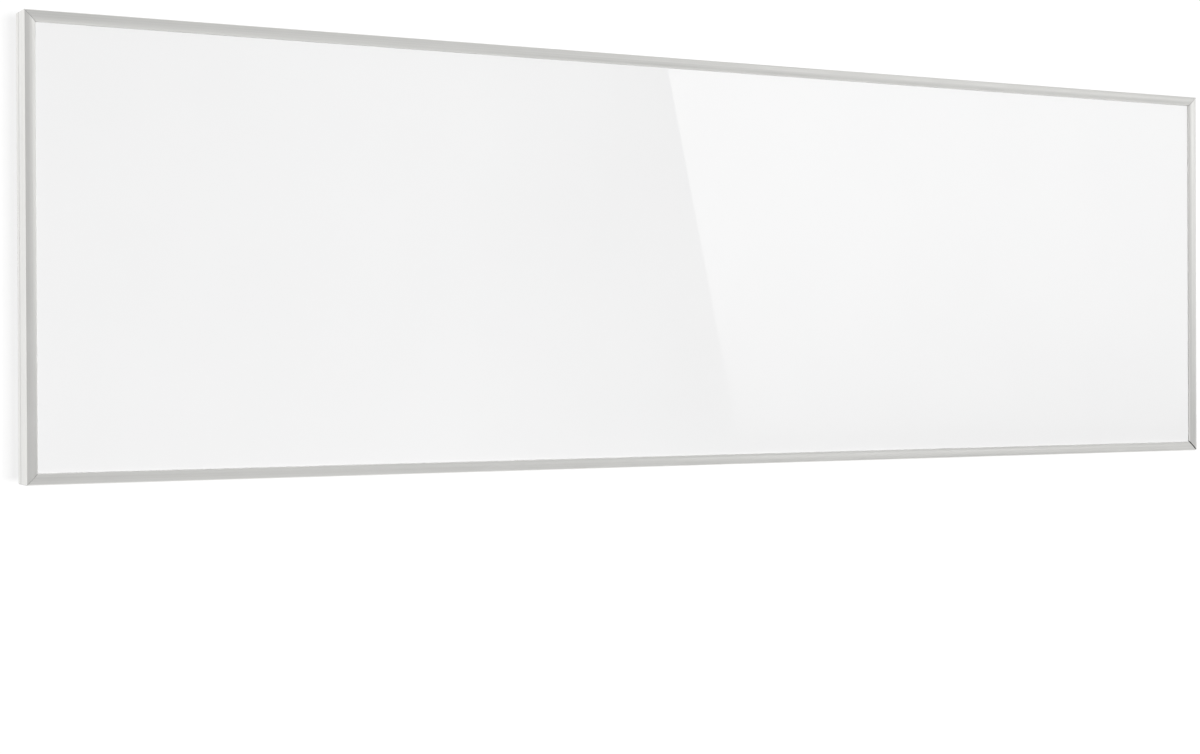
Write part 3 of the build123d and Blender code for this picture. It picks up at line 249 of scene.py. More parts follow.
def zinc_spangle(tree, start, place):
    """Crystals of a hot-dipped zinc coat."""
    sway = times(tree, cloud(tree, place, 420.0), 0.0035)
    warped = add(tree, "VectorMath", {0: place, 1: sway}, operation="ADD").outputs[0]
    cells = add(tree, "TexVoronoi", {"Vector": warped, "Scale": start["Crystals"]})
    tint = add(tree, "SeparateColor", {0: cells.outputs[1]}).outputs[0]
    feather = cloud(tree, place, times(tree, start["Crystals"], 7.0), detail=3.0)
    tone = weigh(tree, tint, 0.75, feather, 0.25)
    return {"Height": weigh(tree, tint, 0.4, feather), "Tone": tone}


def fibre_mat(tree, start, place):
    """Matted fibres lying every way in the sheet."""
    strands = None
    for turn in range(3):
        lie = {"Rotation": (0.0, turn * 1.1 + 0.3, 0.2 * turn), "Scale": (0.09, 1, 1)}
        turned = add(tree, "Mapping", {"Vector": place, **lie}).outputs[0]
        layer = cloud(tree, turned, start["Fibres"], detail=4.0, roughness=0.65)
        strands = layer if strands is None else maths(tree, "MAXIMUM", strands, layer)
    clumps = cloud(tree, place, 60.0, detail=3.0)
    return {"Height": weigh(tree, clumps, 0.8, strands), "Tone": ramp(tree, strands, 0.45, 0.8)}


def handling_marks(tree, start, place):
    """Patches where a surface was touched or rubbed, from 0 to 1."""
    patches = ramp(tree, cloud(tree, place, start["Patches"], detail=4.0), 0.42, 0.68)
    lie = {"Rotation": (0.4, 0.7, 0.2), "Scale": (40, 900, 900)}
    turned = add(tree, "Mapping", {"Vector": place, **lie}).outputs[0]
    hairs = times(tree, ramp(tree, cloud(tree, turned, 1.0), 0.68, 0.74), start["Scratches"])
    return {"Mask": maths(tree, "MAXIMUM", patches, hairs)}


def settled_dust(tree, start, place):
    """Thin dust on what faces upwards, from 0 to 1."""
    normal = add(tree, "NewGeometry").outputs["Normal"]
    upwards = ramp(tree, add(tree, "SeparateXYZ", {0: normal}).outputs[2], 0.35, 1.0)
    grains = ramp(tree, cloud(tree, place, 700.0, detail=5.0, roughness=0.7), 0.3, 0.7)
    return {"Mask": times(tree, times(tree, upwards, grains), start["Amount"])}


EFFECTS = {
    drawn_grain: {"Stretch": (3.0, 900.0, 900.0)},
    moulded_skin: {"Grains": 1800.0},
    enamel_skin: {"Ripples": 260.0},
    zinc_spangle: {"Crystals": 260.0},
    fibre_mat: {"Fibres": 380.0},
    handling_marks: {"Patches": 22.0, "Scratches": 0.3},
    settled_dust: {"Amount": 0.2},
}


def new_effect(effect):
    """A node group with named inputs, filled by its effect from them and from the object's own
    coordinates, and with an output for each thing that the effect gives."""
    tree = bpy.data.node_groups.new(effect.__name__, "ShaderNodeTree")
    for label, value in EFFECTS[effect].items():
        kind = "NodeSocketVector" if isinstance(value, tuple) else "NodeSocketFloat"
        tree.interface.new_socket(label, in_out="INPUT", socket_type=kind).default_value = value
    start = tree.nodes.new("NodeGroupInput").outputs
    given = effect(tree, start, add(tree, "TexCoord").outputs["Object"])
    for label in given:
        tree.interface.new_socket(label, in_out="OUTPUT", socket_type="NodeSocketFloat")
    end = tree.nodes.new("NodeGroupOutput")
    end.location = (1400, 0)
    for label, value in given.items():
        tree.links.new(value, end.inputs[label])
    return tree


def place_effect(tree, effect, values):
    """One of the shared effects, placed in a material with its own values."""
    node = tree.nodes.new("ShaderNodeGroup")
    node.node_tree = bpy.data.node_groups.get(effect.__name__) or new_effect(effect)
    for label, value in values.items():
        node.inputs[label].default_value = value
    node.location = (-300, 300 - 220 * len(tree.nodes))
    return node.outputs


def new_material(name):
    """A material and its empty node tree."""
    material = bpy.data.materials.new(name)
    material.use_nodes = True
    material.node_tree.nodes.clear()
    return material, material.node_tree


def shade(base, factor):
    """A colour made darker or lighter, with its alpha."""
    return tuple(min(1.0, channel * factor) for channel in base[:3]) + (1.0,)


FINISHES = {}
DUST = (0.46, 0.44, 0.41, 1.0)


def worked_finish(
    name, base, texture, spread=0.06, roughness=(0.4, 0.55), relief=0.00002, patches=22.0,
    scratches=0.3, dust=0.0, second=None, **constants,
):
    """A material whose colour runs between two tones with its texture, whose roughness changes
    where it was handled, and whose relief is the texture's height."""
    if name in FINISHES:
        return FINISHES[name]
    material, tree = new_material(name)
    FINISHES[name] = material
    material.diffuse_color = shade(base, 1.0)
    surface = add(tree, "BsdfPrincipled", constants)
    add(tree, "OutputMaterial", {"Surface": surface.outputs[0]})
    pattern = place_effect(tree, *texture)
    touched = {"Patches": patches, "Scratches": scratches}
    marks = place_effect(tree, handling_marks, touched)["Mask"]
    light = shade(base, 1 + spread)
    far_tone = shade(second, 1.0) if second else light
    tone = blend(tree, pattern["Tone"], shade(base, 1 - spread), far_tone)
    tone = blend(tree, times(tree, marks, 0.35), tone, light)
    rough = ramp(tree, marks, 0.0, 1.0, *roughness)
    if dust:
        layer = place_effect(tree, settled_dust, {"Amount": dust})["Mask"]
        tone = blend(tree, layer, tone, DUST)
        rough = maths(tree, "MAXIMUM", rough, layer)
    bump = add(tree, "Bump", {"Height": pattern["Height"], "Distance": relief}).outputs[0]
    for label, value in {"Base Color": tone, "Roughness": rough, "Normal": bump}.items():
        tree.links.new(value, surface.inputs[label])
    return material


def metal(name, base, texture, grain=None, **values):
    """A worked finish of bare or plated metal. Along a grain, "X" or "Z", its gloss spreads
    across the lines."""
    finish = worked_finish(name, base, texture, Metallic=1.0, **values)
    tree = finish.node_tree
    tangent = tree.nodes["Principled BSDF"].inputs["Tangent"]
    if grain and not tangent.is_linked:
        across = add(tree, "Tangent", direction_type="RADIAL", axis=grain)
        tree.links.new(across.outputs[0], tangent)
    return finish


def moulded(grains):
    """A moulded texture with this many grains per metre."""
    return moulded_skin, {"Grains": grains}


ALONG_X = (drawn_grain, {"Stretch": (2.5, 1700.0, 1700.0)})
ALONG_Z = (drawn_grain, {"Stretch": (1700.0, 1700.0, 2.5)})
ALL_ROUND = moulded(2200.0)


# ------------------------------------------------------------------------ meshes


def in_scene(name, data):
    """A new object in the scene."""
    made = bpy.data.objects.new(name, data)
    bpy.context.scene.collection.objects.link(made)
    return made


def mesh_in_scene(name, shape, finishes):
    """A new object in the scene from a bmesh, which is used up."""
    mesh = bpy.data.meshes.new(name)
    shape.to_mesh(mesh)
    shape.free()
    for finish in finishes:
        mesh.materials.append(finish)
    return in_scene(name, mesh)


def new_piece(name, shape, finishes, replaces=(), body=HEATER, sharp=32.0, chamfer=0.0):
    """A piece from a bmesh, which rides on a body and may stand for solids."""
    bmesh.ops.recalc_face_normals(shape, faces=shape.faces)
    for face in shape.faces:
        face.smooth = True
    piece = mesh_in_scene(name, shape, finishes)
    piece.data.set_sharp_from_angle(angle=math.radians(sharp))
    if chamfer:
        edge = piece.modifiers.new("Edges", "BEVEL")
        edge.width = chamfer
        edge.segments = 3
        edge.limit_method = "ANGLE"
        edge.angle_limit = math.radians(38)
        edge.harden_normals = True
        edge.material = len(finishes) - 1
    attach(piece, body)
    if replaces:
        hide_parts(*replaces)
    return piece


def dress(finish, *nodes):
    """Gives solids that stay a worked finish."""
    for node in nodes:
        solid = frame["nodes"][node]
        if not solid.material_slots:
            solid.data.materials.append(finish)
        for slot in solid.material_slots:
            slot.material = finish


def facing(centre, outward):
    """Matrix whose local Z points outwards from a centre."""
    turn = Vector(outward).to_track_quat("Z", "Y").to_matrix().to_4x4()
    return Matrix.Translation(centre) @ turn


def seat(x, y, z, turn=0.0):
    """Matrix of a fastener's seat on the back, with the fastener turned about its axis."""
    return facing((x, y, z), (0, 1, 0)) @ Matrix.Rotation(turn, 4, "Z")


def revolve(shape, place, rings, segments=32, warp=None):
    """Faces between rings of (radius, height) round local Z; a radius of 0 closes to a point.
    warp(angle, radius, height) may change each point's radius and height."""
    made = []
    for radius, height in rings:
        ring = []
        for step in range(segments if radius else 1):
            angle = 2 * math.pi * step / segments
            far, high = warp(angle, radius, height) if warp and radius else (radius, height)
            point = Vector((far * math.cos(angle), far * math.sin(angle), high))
            ring.append(shape.verts.new(place @ point))
        made.append(ring)
    for below, above in zip(made, made[1:]):
        for step in range(segments):
            after = (step + 1) % segments
            if len(below) == 1:
                corners = (below[0], above[step], above[after])
            elif len(above) == 1:
                corners = (below[step], below[after], above[0])
            else:
                corners = (below[step], below[after], above[after], above[step])
            shape.faces.new(corners)


def hexagon(across_flats):
    """Warp that trims a turned shape to a hexagon, and leaves its chamfer on the corners."""

    def warp(angle, radius, height):
        turned = (angle + math.pi / 6) % (math.pi / 3) - math.pi / 6
        return min(radius, across_flats / 2 / math.cos(turned)), height

    return warp


def cross_recess(head_radius, depth):
    """Warp that sinks a tapered cross into the top of a screw's head."""
    reach, width, slope = 0.62 * head_radius, 0.17 * head_radius, 0.14 * head_radius

    def sunk(distance):
        return min(1.0, max(0.0, distance / slope))

    def warp(angle, radius, height):
        if height <= 0:
            return radius, height
        short, long = sorted((abs(radius * math.cos(angle)), abs(radius * math.sin(angle))))
        return radius, height - depth * (sunk(reach - long) * sunk(width + slope - short))

    return warp


DOME = (0.12, 0.2, 0.28, 0.36, 0.46, 0.56, 0.66, 0.8)


def pan_head(shape, place, radius, height):
    """A pan-head screw's head with its cross recess."""
    rings = [(0, height * 0.48)]
    rings += [(radius * share, height * (1 - 0.28 * share**3)) for share in DOME]
    rings += [(radius * 0.92, height * 0.68), (radius, height * 0.4), (radius, 0), (0, 0)]
    revolve(shape, place, rings, segments=40, warp=cross_recess(radius, height * 0.52))


def blind_rivet(shape, place, radius, height, bore):
    """A blind rivet's domed head with the hole and stub that its pin leaves."""
    rings = [(0, height * 0.25), (bore * 0.86, height * 0.22), (bore, height * 0.9)]
    rings += [(bore * 1.25, height), (radius * 0.62, height * 0.86)]
    rings += [(radius * 0.84, height * 0.56), (radius * 0.96, height * 0.22)]
    rings += [(radius, height * 0.06), (radius * 0.98, 0), (0, 0)]
    revolve(shape, place, rings)


def arc_points(start, middle, end, steps):
    """Points on the arc through three points in a plane, both ends included."""
    (ax, ay), (bx, by), (cx, cy) = start, middle, end
    a2, b2, c2 = (x * x + y * y for x, y in (start, middle, end))
    d = 2 * (ax * (by - cy) + bx * (cy - ay) + cx * (ay - by))
    ux = (a2 * (by - cy) + b2 * (cy - ay) + c2 * (ay - by)) / d
    uy = (a2 * (cx - bx) + b2 * (ax - cx) + c2 * (bx - ax)) / d
    first, last = math.atan2(ay - uy, ax - ux), math.atan2(cy - uy, cx - ux)
    radius = math.hypot(ax - ux, ay - uy)
    angles = [first + (last - first) * step / steps for step in range(steps + 1)]
    return [(ux + radius * math.cos(angle), uy + radius * math.sin(angle)) for angle in angles]


def rounded_corner(before, corner, after, radius, steps=5):
    """The corner of an outline rounded with this radius, as points."""
    corner = Vector(corner)
    back = (Vector(before) - corner).normalized()
    ahead = (Vector(after) - corner).normalized()
    half_angle = back.angle(ahead) / 2
    reach = radius / math.tan(half_angle)
    centre = corner + (back + ahead).normalized() * radius / math.sin(half_angle)
    start, end = corner + back * reach - centre, corner + ahead * reach - centre
    turned = [start.slerp(end, step / steps) for step in range(steps + 1)]
    return [tuple(centre + point.normalized() * radius) for point in turned]


def slab(shape, outline, y_front, y_back):
    """A plate between two depths, from its outline as (x, z) points."""
    front = [shape.verts.new((x, y_front, z)) for x, z in outline]
    back = [shape.verts.new((x, y_back, z)) for x, z in outline]
    shape.faces.new(front)
    shape.faces.new(list(reversed(back)))
    for step in range(len(outline)):
        after = (step + 1) % len(outline)
        shape.faces.new((front[after], front[step], back[step], back[after]))


def bridge(shape, rings):
    """Closed strips between rings of equal length."""
    for ring, after in zip(rings, rings[1:]):
        for step in range(len(ring)):
            far = (step + 1) % len(ring)
            shape.faces.new((ring[step], ring[far], after[far], after[step]))


def thicken(shape):
    """Closes a sheet into a solid with a copy of itself, and gives the copy's points to be moved.
    Its faces come in the same order in every run, which Blender's own extrusion doesn't keep."""
    rims = [edge for edge in shape.edges if edge.is_boundary]
    copies = {vertex: shape.verts.new(vertex.co) for vertex in shape.verts[:]}
    for face in shape.faces[:]:
        shape.faces.new([copies[vertex] for vertex in face.verts])
    for edge in rims:
        start, end = edge.verts
        shape.faces.new((start, end, copies[end], copies[start]))
    return copies.values()


# ------------------------------------------------------------------------ operators


class HEATER_OT_frame_rails(bpy.types.Operator):
    """Four mitred aluminium rails with crowned lips and soft arrises"""

    bl_idname = "heater.frame_rails"
    bl_label = "Frame Rails"

    lip_steps = 14
    key_channel = 0.0043
    behind_front = 0.0001

    def section(self, sizes):
        """The rail's outline as (inset, y) points, which of its runs are worn arrises, and which
        face the front's edge."""
        crown_y, back_y = (corner.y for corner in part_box("top_rail"))
        lip = []
        for step in range(self.lip_steps + 1):
            share = step / self.lip_steps
            y = crown_y + sizes.lip_rise * (1 - share) ** 3 + sizes.lip_fall * share**3
            lip.append((sizes.lip_width * share, y))
        inner_x, inner_y = lip[-1]
        outer_edge = rounded_corner((0.0, back_y), lip[0], lip[2], sizes.arris)
        seat_y = inner_y + sizes.lip_thickness
        inner_edge = rounded_corner(lip[-2], lip[-1], (inner_x, seat_y), sizes.inner_arris)
        wall, web, reach = sizes.rail_wall, sizes.rail_web, sizes.flange_reach
        channel = wall + self.key_channel + web
        web_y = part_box("front_panel")[1].y + self.behind_front
        floor_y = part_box("back_plate")[0].y
        groove_y, half_groove = back_y - sizes.groove_from_back, sizes.groove / 2
        points = outer_edge + lip[2:-1] + inner_edge
        worn = set(range(len(outer_edge) - 1))
        # The runs along the lip's inner side and its seat take the inner edge finish, darkened as
        # painted shade where the lip meets the front.
        hidden = {len(points) - 1, len(points)}
        points += [(inner_x, seat_y), (wall, seat_y), (wall, web_y), (channel, web_y)]
        points += [(channel, web_y + web), (wall, web_y + web), (wall, floor_y - web)]
        points += [(reach, floor_y - web), (reach, floor_y), (wall, floor_y), (wall, back_y)]
        points += [(sizes.arris / 2, back_y), (0.0, back_y - sizes.arris / 2)]
        points += [(0.0, groove_y + half_groove), (half_groove, groove_y + half_groove / 2)]
        points += [(half_groove, groove_y - half_groove / 2), (0.0, groove_y - half_groove)]
        points += [(0.0, outer_edge[0][1] + sizes.arris)]
        return points, worn, hidden

    def finishes(self, bare, side):
        """Finishes of the rail's faces, worn arris, hidden inner edge and sawn ends, the last two
        in painted shade.
        """
        lines, grain, gloss = {
            "level": (ALONG_X, "X", (0.37, 0.44)), "upright": (ALONG_Z, "Z", (0.31, 0.38)),
        }[side]
        drawn = dict(grain=grain, Anisotropic=0.6, roughness=gloss)
        drawn |= dict(relief=0.000008, scratches=0.5, dust=0.12)
        return [
            metal(f"{part}_{side}", shade(bare, tone), lines, **values)
            for part, tone, values in (
                ("anodised", 1.0, dict(drawn, spread=0.09)),
                ("rubbed_arris", 1.15, drawn),
                # Inner edge: base darkened to 0.68 as painted shade of the lip's recess; its dust
                # is real.
                ("inner_edge", 0.68, dict(dust=0.2)),
                # Sawn ends: base darkened to 0.35 as painted shade inside the mitre gaps; their
                # roughness is real.
                ("sawn_end_painted_shade", 0.35, dict(roughness=(0.5, 0.6))),
            )
        ]

    def execute(self, context):
        sizes, colours = context.scene.heater_sizes, context.scene.heater_colours
        points, worn, hidden = self.section(sizes)
        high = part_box("top_rail")[1]
        narrow, wide = sizes.mitre_gap, sizes.open_mitre_gap
        for name, along, inward, gaps in (
            ("top_rail", (1, 0, 0), (0, 0, -1), (narrow, narrow)),
            ("bottom_rail", (1, 0, 0), (0, 0, 1), (narrow, wide)),
            ("left_rail", (0, 0, 1), (1, 0, 0), (narrow, narrow)),
            ("right_rail", (0, 0, 1), (-1, 0, 0), (wide, narrow)),
        ):
            along, inward = Vector(along), Vector(inward)
            side = "level" if along.x else "upright"
            half_run, half_across = (high.x, high.z) if along.x else (high.z, high.x)
            shape = bmesh.new()
            rings = []
            for end, gap in zip((-1, 1), gaps):
                ring = []
                for inset, y in points:
                    reach = half_run - inset - gap * math.sqrt(0.5)
                    place = along * end * reach - inward * (half_across - inset)
                    ring.append(shape.verts.new(place + Vector((0, y, 0))))
                rings.append(ring)
            bridge(shape, rings)
            for step, face in enumerate(shape.faces):
                face.material_index = (step in worn) + 2 * (step in hidden)
            weights = shape.edges.layers.float.new("bevel_weight_edge")
            for ring in rings:
                # Each end cap takes the sawn end finish, darkened as painted shade of the mitre
                # gap.
                cap = shape.faces.new(ring)
                cap.material_index = 3
                for edge in cap.edges:
                    edge[weights] = 1.0
            finishes = self.finishes(colours.frame_metal, side)
            piece = new_piece(f"{name}_profile", shape, finishes, (name,))
            mitre = piece.modifiers.new("Mitre", "BEVEL")
            mitre.limit_method = "WEIGHT"
            mitre.width = sizes.mitre_break
            mitre.segments = 2
        return {"FINISHED"}


class HEATER_OT_front_panel(bpy.types.Operator):
    """Gloss white front with a softly rounded edge"""

    bl_idname = "heater.front_panel"
    bl_label = "Front Panel"

    corner_steps = 6
    least_radius = 0.0001

    def execute(self, context):
        sizes, colours = context.scene.heater_sizes, context.scene.heater_colours
        low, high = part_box("front_panel")
        edge, corner = sizes.panel_edge, sizes.panel_corner
        bend = 0.29 * edge
        profile = [(2 * edge, low.y)]
        profile += arc_points((edge, low.y), (bend, low.y + bend), (0, low.y + edge), steps=5)
        profile += [(0.0, low.y + 1.5 * edge), (0.0, high.y - edge / 2), (edge / 2, high.y)]
        shape = bmesh.new()
        rings = []
        for inset, y in profile:
            radius = max(corner - inset, self.least_radius)
            ring = []
            for side_x, side_z, first in ((-1, -1, 180), (1, -1, 270), (1, 1, 0), (-1, 1, 90)):
                centre = Vector((side_x * (high.x - corner), 0, side_z * (high.z - corner)))
                for step in range(self.corner_steps + 1):
                    angle = math.radians(first + step * 90 / self.corner_steps)
                    out = Vector((math.cos(angle), 0, math.sin(angle))) * radius
                    ring.append(shape.verts.new(centre + out + Vector((0, y, 0))))
            rings.append(ring)
        bridge(shape, rings)
        shape.faces.new(rings[0])
        shape.faces.new(list(reversed(rings[-1])))
        enamel = worked_finish(
            "gloss_enamel", colours.enamel, (enamel_skin, {"Ripples": 240.0}), spread=0.006,
            roughness=(0.003, 0.007), relief=0.0000001, patches=7.0, scratches=0.15, IOR=1.8,
        )
        new_piece("front_sheet", shape, (enamel,), ("front_panel",), sharp=60.0)
        return {"FINISHED"}


class HEATER_OT_heated_stack(bpy.types.Operator):
    """Laminate with its heating track, film, foil and mineral wool, hidden behind the front"""

    bl_idname = "heater.heated_stack"
    bl_label = "Heated Stack"

    cells = 80, 24  # across and up
    pocket_shift = 0.015
    pocket_rise = 0.0175
    lumps_per_metre = 45
    lump_depth = 0.0011

    def wool(self):
        """A board of matted wool with the wiring pocket left open and its faces uneven."""
        low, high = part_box("insulation_board")
        box_low, box_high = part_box("control_cover")
        left, right = box_low.x - self.pocket_shift, box_high.x - self.pocket_shift
        top = (box_low.z + box_high.z) / 2 + self.pocket_rise
        across, up = self.cells
        columns = {low.x + (high.x - low.x) * step / across for step in range(across + 1)}
        rows = {low.z + (high.z - low.z) * step / up for step in range(up + 1)}
        columns, rows = sorted(columns | {left, right}), sorted(rows | {top})
        shape = bmesh.new()
        grid = [[shape.verts.new((x, low.y, z)) for z in rows] for x in columns]
        for i in range(len(columns) - 1):
            for j in range(len(rows) - 1):
                x, z = (columns[i] + columns[i + 1]) / 2, (rows[j] + rows[j + 1]) / 2
                if not (left < x < right and z < top):
                    near, far = grid[i], grid[i + 1]
                    shape.faces.new((near[j], far[j], far[j + 1], near[j + 1]))
        loose = [vertex for vertex in shape.verts if not vertex.link_faces]
        bmesh.ops.delete(shape, geom=loose, context="VERTS")
        for vertex in thicken(shape):
            vertex.co.y = high.y
        for vertex in shape.verts:
            uneven = 0.5 + 0.5 * noise.noise(vertex.co * self.lumps_per_metre)
            inwards = -1 if vertex.co.y > (low.y + high.y) / 2 else 0.2
            vertex.co.y += self.lump_depth * uneven * inwards
        return shape

    def execute(self, context):
        wool = worked_finish(
            "matted_wool", (0.50, 0.44, 0.25), (fibre_mat, {"Fibres": 420.0}), spread=0.25,
            roughness=(0.9, 1.0), relief=0.0006,
        )
        stands_for = ("insulation_board",)
        new_piece("wool_board", self.wool(), (wool,), stands_for, sharp=60.0)
        laminate = worked_finish(
            "heating_laminate", (0.36, 0.27, 0.12), moulded(900.0), spread=0.12,
            **{"Coat Weight": 0.2},
        )
        copper = metal(
            "etched_copper", (0.72, 0.35, 0.22), ALONG_X, spread=0.08, roughness=(0.25, 0.5)
        )
        film = worked_finish(
            "amber_film", (0.62, 0.38, 0.06), ALL_ROUND, spread=0.05, roughness=(0.2, 0.35)
        )
        foil = metal(
            "creased_foil", (0.82, 0.83, 0.84), (enamel_skin, {"Ripples": 190.0}),
            roughness=(0.12, 0.3), relief=0.0003,
        )
        dress(laminate, "heating_board")
        dress(copper, "heating_track")
        dress(film, "insulating_sheet")
        dress(foil, "reflective_foil")
        return {"FINISHED"}


class HEATER_OT_back_plate(bpy.types.Operator):
    """Painted back plate, its pan-head screws and the corner keys in the rails"""

    bl_idname = "heater.back_plate"
    bl_label = "Back Plate"

    row_screws = 6
    turn_between = 0.7

    def execute(self, context):
        sizes, colours = context.scene.heater_sizes, context.scene.heater_colours
        paint = worked_finish(
            "back_paint", colours.back_paint, moulded(1100.0), spread=0.025,
            roughness=(0.42, 0.55), relief=0.00005, patches=9.0, dust=0.2,
        )
        dress(paint, "back_plate")
        plated = metal(
            "screw_plating", colours.steel, ALL_ROUND, roughness=(0.22, 0.38), scratches=0.8
        )
        panel_low, panel_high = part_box("front_panel")
        panel_half = (panel_high - panel_low) / 2
        frame_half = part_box("top_rail")[1]
        seat_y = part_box("back_plate_screws")[1].y - sizes.screw_height
        span, gaps = 2 * (panel_half.x - sizes.screw_end_margin), self.row_screws - 1
        row = [-span / 2 + step * span / gaps for step in range(self.row_screws)]
        edge_x, edge_z = frame_half.x - sizes.screw_inset, frame_half.z - sizes.screw_inset
        short_z = panel_half.z - sizes.screw_side_margin
        places = [(x, side * edge_z) for side in (-1, 1) for x in row]
        places += [(side * edge_x, up * short_z) for side in (-1, 1) for up in (-1, 1)]
        shape = bmesh.new()
        for count, (x, z) in enumerate(places):
            place = seat(x, seat_y, z, count * self.turn_between)
            pan_head(shape, place, sizes.screw_head, sizes.screw_height)
        screws = ("back_plate_screws",)
        new_piece("plate_screw_heads", shape, (plated,), screws, sharp=40.0)
        cast = metal("cast_key", (0.50, 0.50, 0.51), moulded(700.0), spread=0.1)
        dress(cast, *(f"corner_key_{count}" for count in range(1, 5)))
        dress(plated, "corner_grub_screws")
        return {"FINISHED"}


class HEATER_OT_hangers(bpy.types.Operator):
    """Four galvanised keyhole hangers and their blind rivets"""

    bl_idname = "heater.hangers"
    bl_label = "Hangers"

    def execute(self, context):
        sizes, colours = context.scene.heater_sizes, context.scene.heater_colours
        zinc = metal(
            "galvanised_sheet", shade(colours.zinc, 0.8), (zinc_spangle, {"Crystals": 300.0}),
            second=shade(colours.zinc, 1.25), roughness=(0.32, 0.5), relief=0.00001, dust=0.15,
        )
        rivet = metal("rivet_aluminium", colours.steel, ALL_ROUND, roughness=(0.3, 0.45))
        shape = bmesh.new()
        for hanger in (f"hanger_{count}" for count in range(1, 5)):
            dress(zinc, hanger)
            low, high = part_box(hanger)
            centre = (low + high) / 2
            for across, up in ((-1, -1), (-1, 1), (1, -1), (1, 1)):
                x = centre.x + across * sizes.rivet_span_x / 2
                z = centre.z + up * sizes.rivet_span_z / 2
                place = seat(x, low.y + sizes.hanger_sheet, z)
                blind_rivet(shape, place, sizes.rivet_head, sizes.rivet_height, sizes.rivet_bore)
        new_piece("rivet_heads", shape, (rivet,), ("hanger_rivets",))
        return {"FINISHED"}


class HEATER_OT_control_box(bpy.types.Operator):
    """Moulded box on the back, with its cover screws in round seats"""

    bl_idname = "heater.control_box"
    bl_label = "Control Box"

    def execute(self, context):
        sizes, colours = context.scene.heater_sizes, context.scene.heater_colours
        box = worked_finish(
            "pale_moulding", colours.box_plastic, moulded(1500.0), spread=0.02,
            roughness=(0.45, 0.6), relief=0.00003, patches=30.0, dust=0.2,
        )
        dress(box, "control_base", "control_cover")
        plated = metal("screw_plating", colours.steel, ALL_ROUND)
        low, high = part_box("control_cover")
        inset, seat_y = sizes.cover_screw_inset, high.y - sizes.cover_screw_sink
        shape = bmesh.new()
        for column, x in enumerate((low.x + inset, high.x - inset)):
            for z in (low.z + inset, high.z - inset):
                place = seat(x, seat_y, z, column + z)
                pan_head(shape, place, sizes.cover_screw_head, sizes.cover_screw_height)
        screws = ("cover_screws",)
        new_piece("cover_screw_heads", shape, (plated,), screws, sharp=40.0)
        dress(plated, "base_screws", "board_screws", "terminal_screws", "earth_screw", "earth_nut")
        return {"FINISHED"}


class HEATER_OT_power_switch(bpy.types.Operator):
    """Rocker switch with its two filled marks"""

    bl_idname = "heater.power_switch"
    bl_label = "Power Switch"

    width = 0.0096
    half_length = 0.0074
    rise = 0.0038
    dish = 0.0012
    end_taper = 0.0006, 0.0002  # how far the ends draw in, and by what height
    foot = 0.0024, 0.0016
    mark_place = 0.0041
    mark_sink = 0.00004
    mark_depth = 0.0002
    ring_steps = 40

    def execute(self, context):
        sizes, colours = context.scene.heater_sizes, context.scene.heater_colours
        black, skin = colours.switch_plastic, moulded(3200.0)
        gloss = worked_finish("black_moulding", black, skin, spread=0.25, roughness=(0.22, 0.4))
        edges = worked_finish("switch_edges", shade(black, 2.2), skin, roughness=(0.15, 0.25))
        filled = worked_finish("mark_paint", colours.marks, skin, spread=0.03)
        dress(gloss, "switch_housing")
        joint = next(j for j in frame["joints"] if j["name"] == "rocker_tilt")
        tilt = math.radians(joint["range_deg"][1] / 2)
        turned = Matrix.Translation(joint["pos_m"]) @ Matrix.Rotation(-tilt, 4, "Y")
        half, rise, dish = self.half_length, self.rise, self.dish
        outline = arc_points((-half, -rise), (0, -rise + dish), (half, -rise), steps=16)
        taper, shoulder = self.end_taper
        outline += [(half - taper, shoulder), self.foot]
        outline += [(-x, z) for x, z in reversed(outline[-2:])]
        shape = bmesh.new()
        slab(shape, outline, -self.width / 2, self.width / 2)
        shape.transform(turned)
        new_piece(
            "rocker_key", shape, (gloss, edges), ("power_rocker",), body=ROCKER,
            chamfer=0.0003,
        )

        def on_face(across, beside):
            """A point just proud of the dished face, before the rocker's turn."""
            radius = (half**2 + dish**2) / (2 * dish)
            height = -rise + dish - radius + math.sqrt(radius**2 - across**2)
            return turned @ Vector((across, beside, height - self.mark_sink))

        stroke, size = sizes.mark_width / 2, sizes.mark_size / 2
        bar, ring = bmesh.new(), bmesh.new()
        corners = ((-1, -1), (1, -1), (1, 1), (-1, 1))
        bar.faces.new(
            [bar.verts.new(on_face(-(self.mark_place + s * stroke), b * size)) for s, b in corners]
        )
        loops = []
        for radius in (size - 2 * stroke, size):
            loop = []
            for step in range(self.ring_steps):
                angle = math.tau * step / self.ring_steps
                across = self.mark_place + radius * math.cos(angle)
                loop.append(ring.verts.new(on_face(across, radius * math.sin(angle))))
            loops.append(loop)
        bridge(ring, loops)
        lift = turned.to_3x3() @ Vector((0, 0, self.mark_depth))
        for name, mark in (("on_mark", bar), ("off_mark", ring)):
            for vertex in thicken(mark):
                vertex.co += lift
            new_piece(name, mark, (filled,), body=ROCKER)
        return {"FINISHED"}


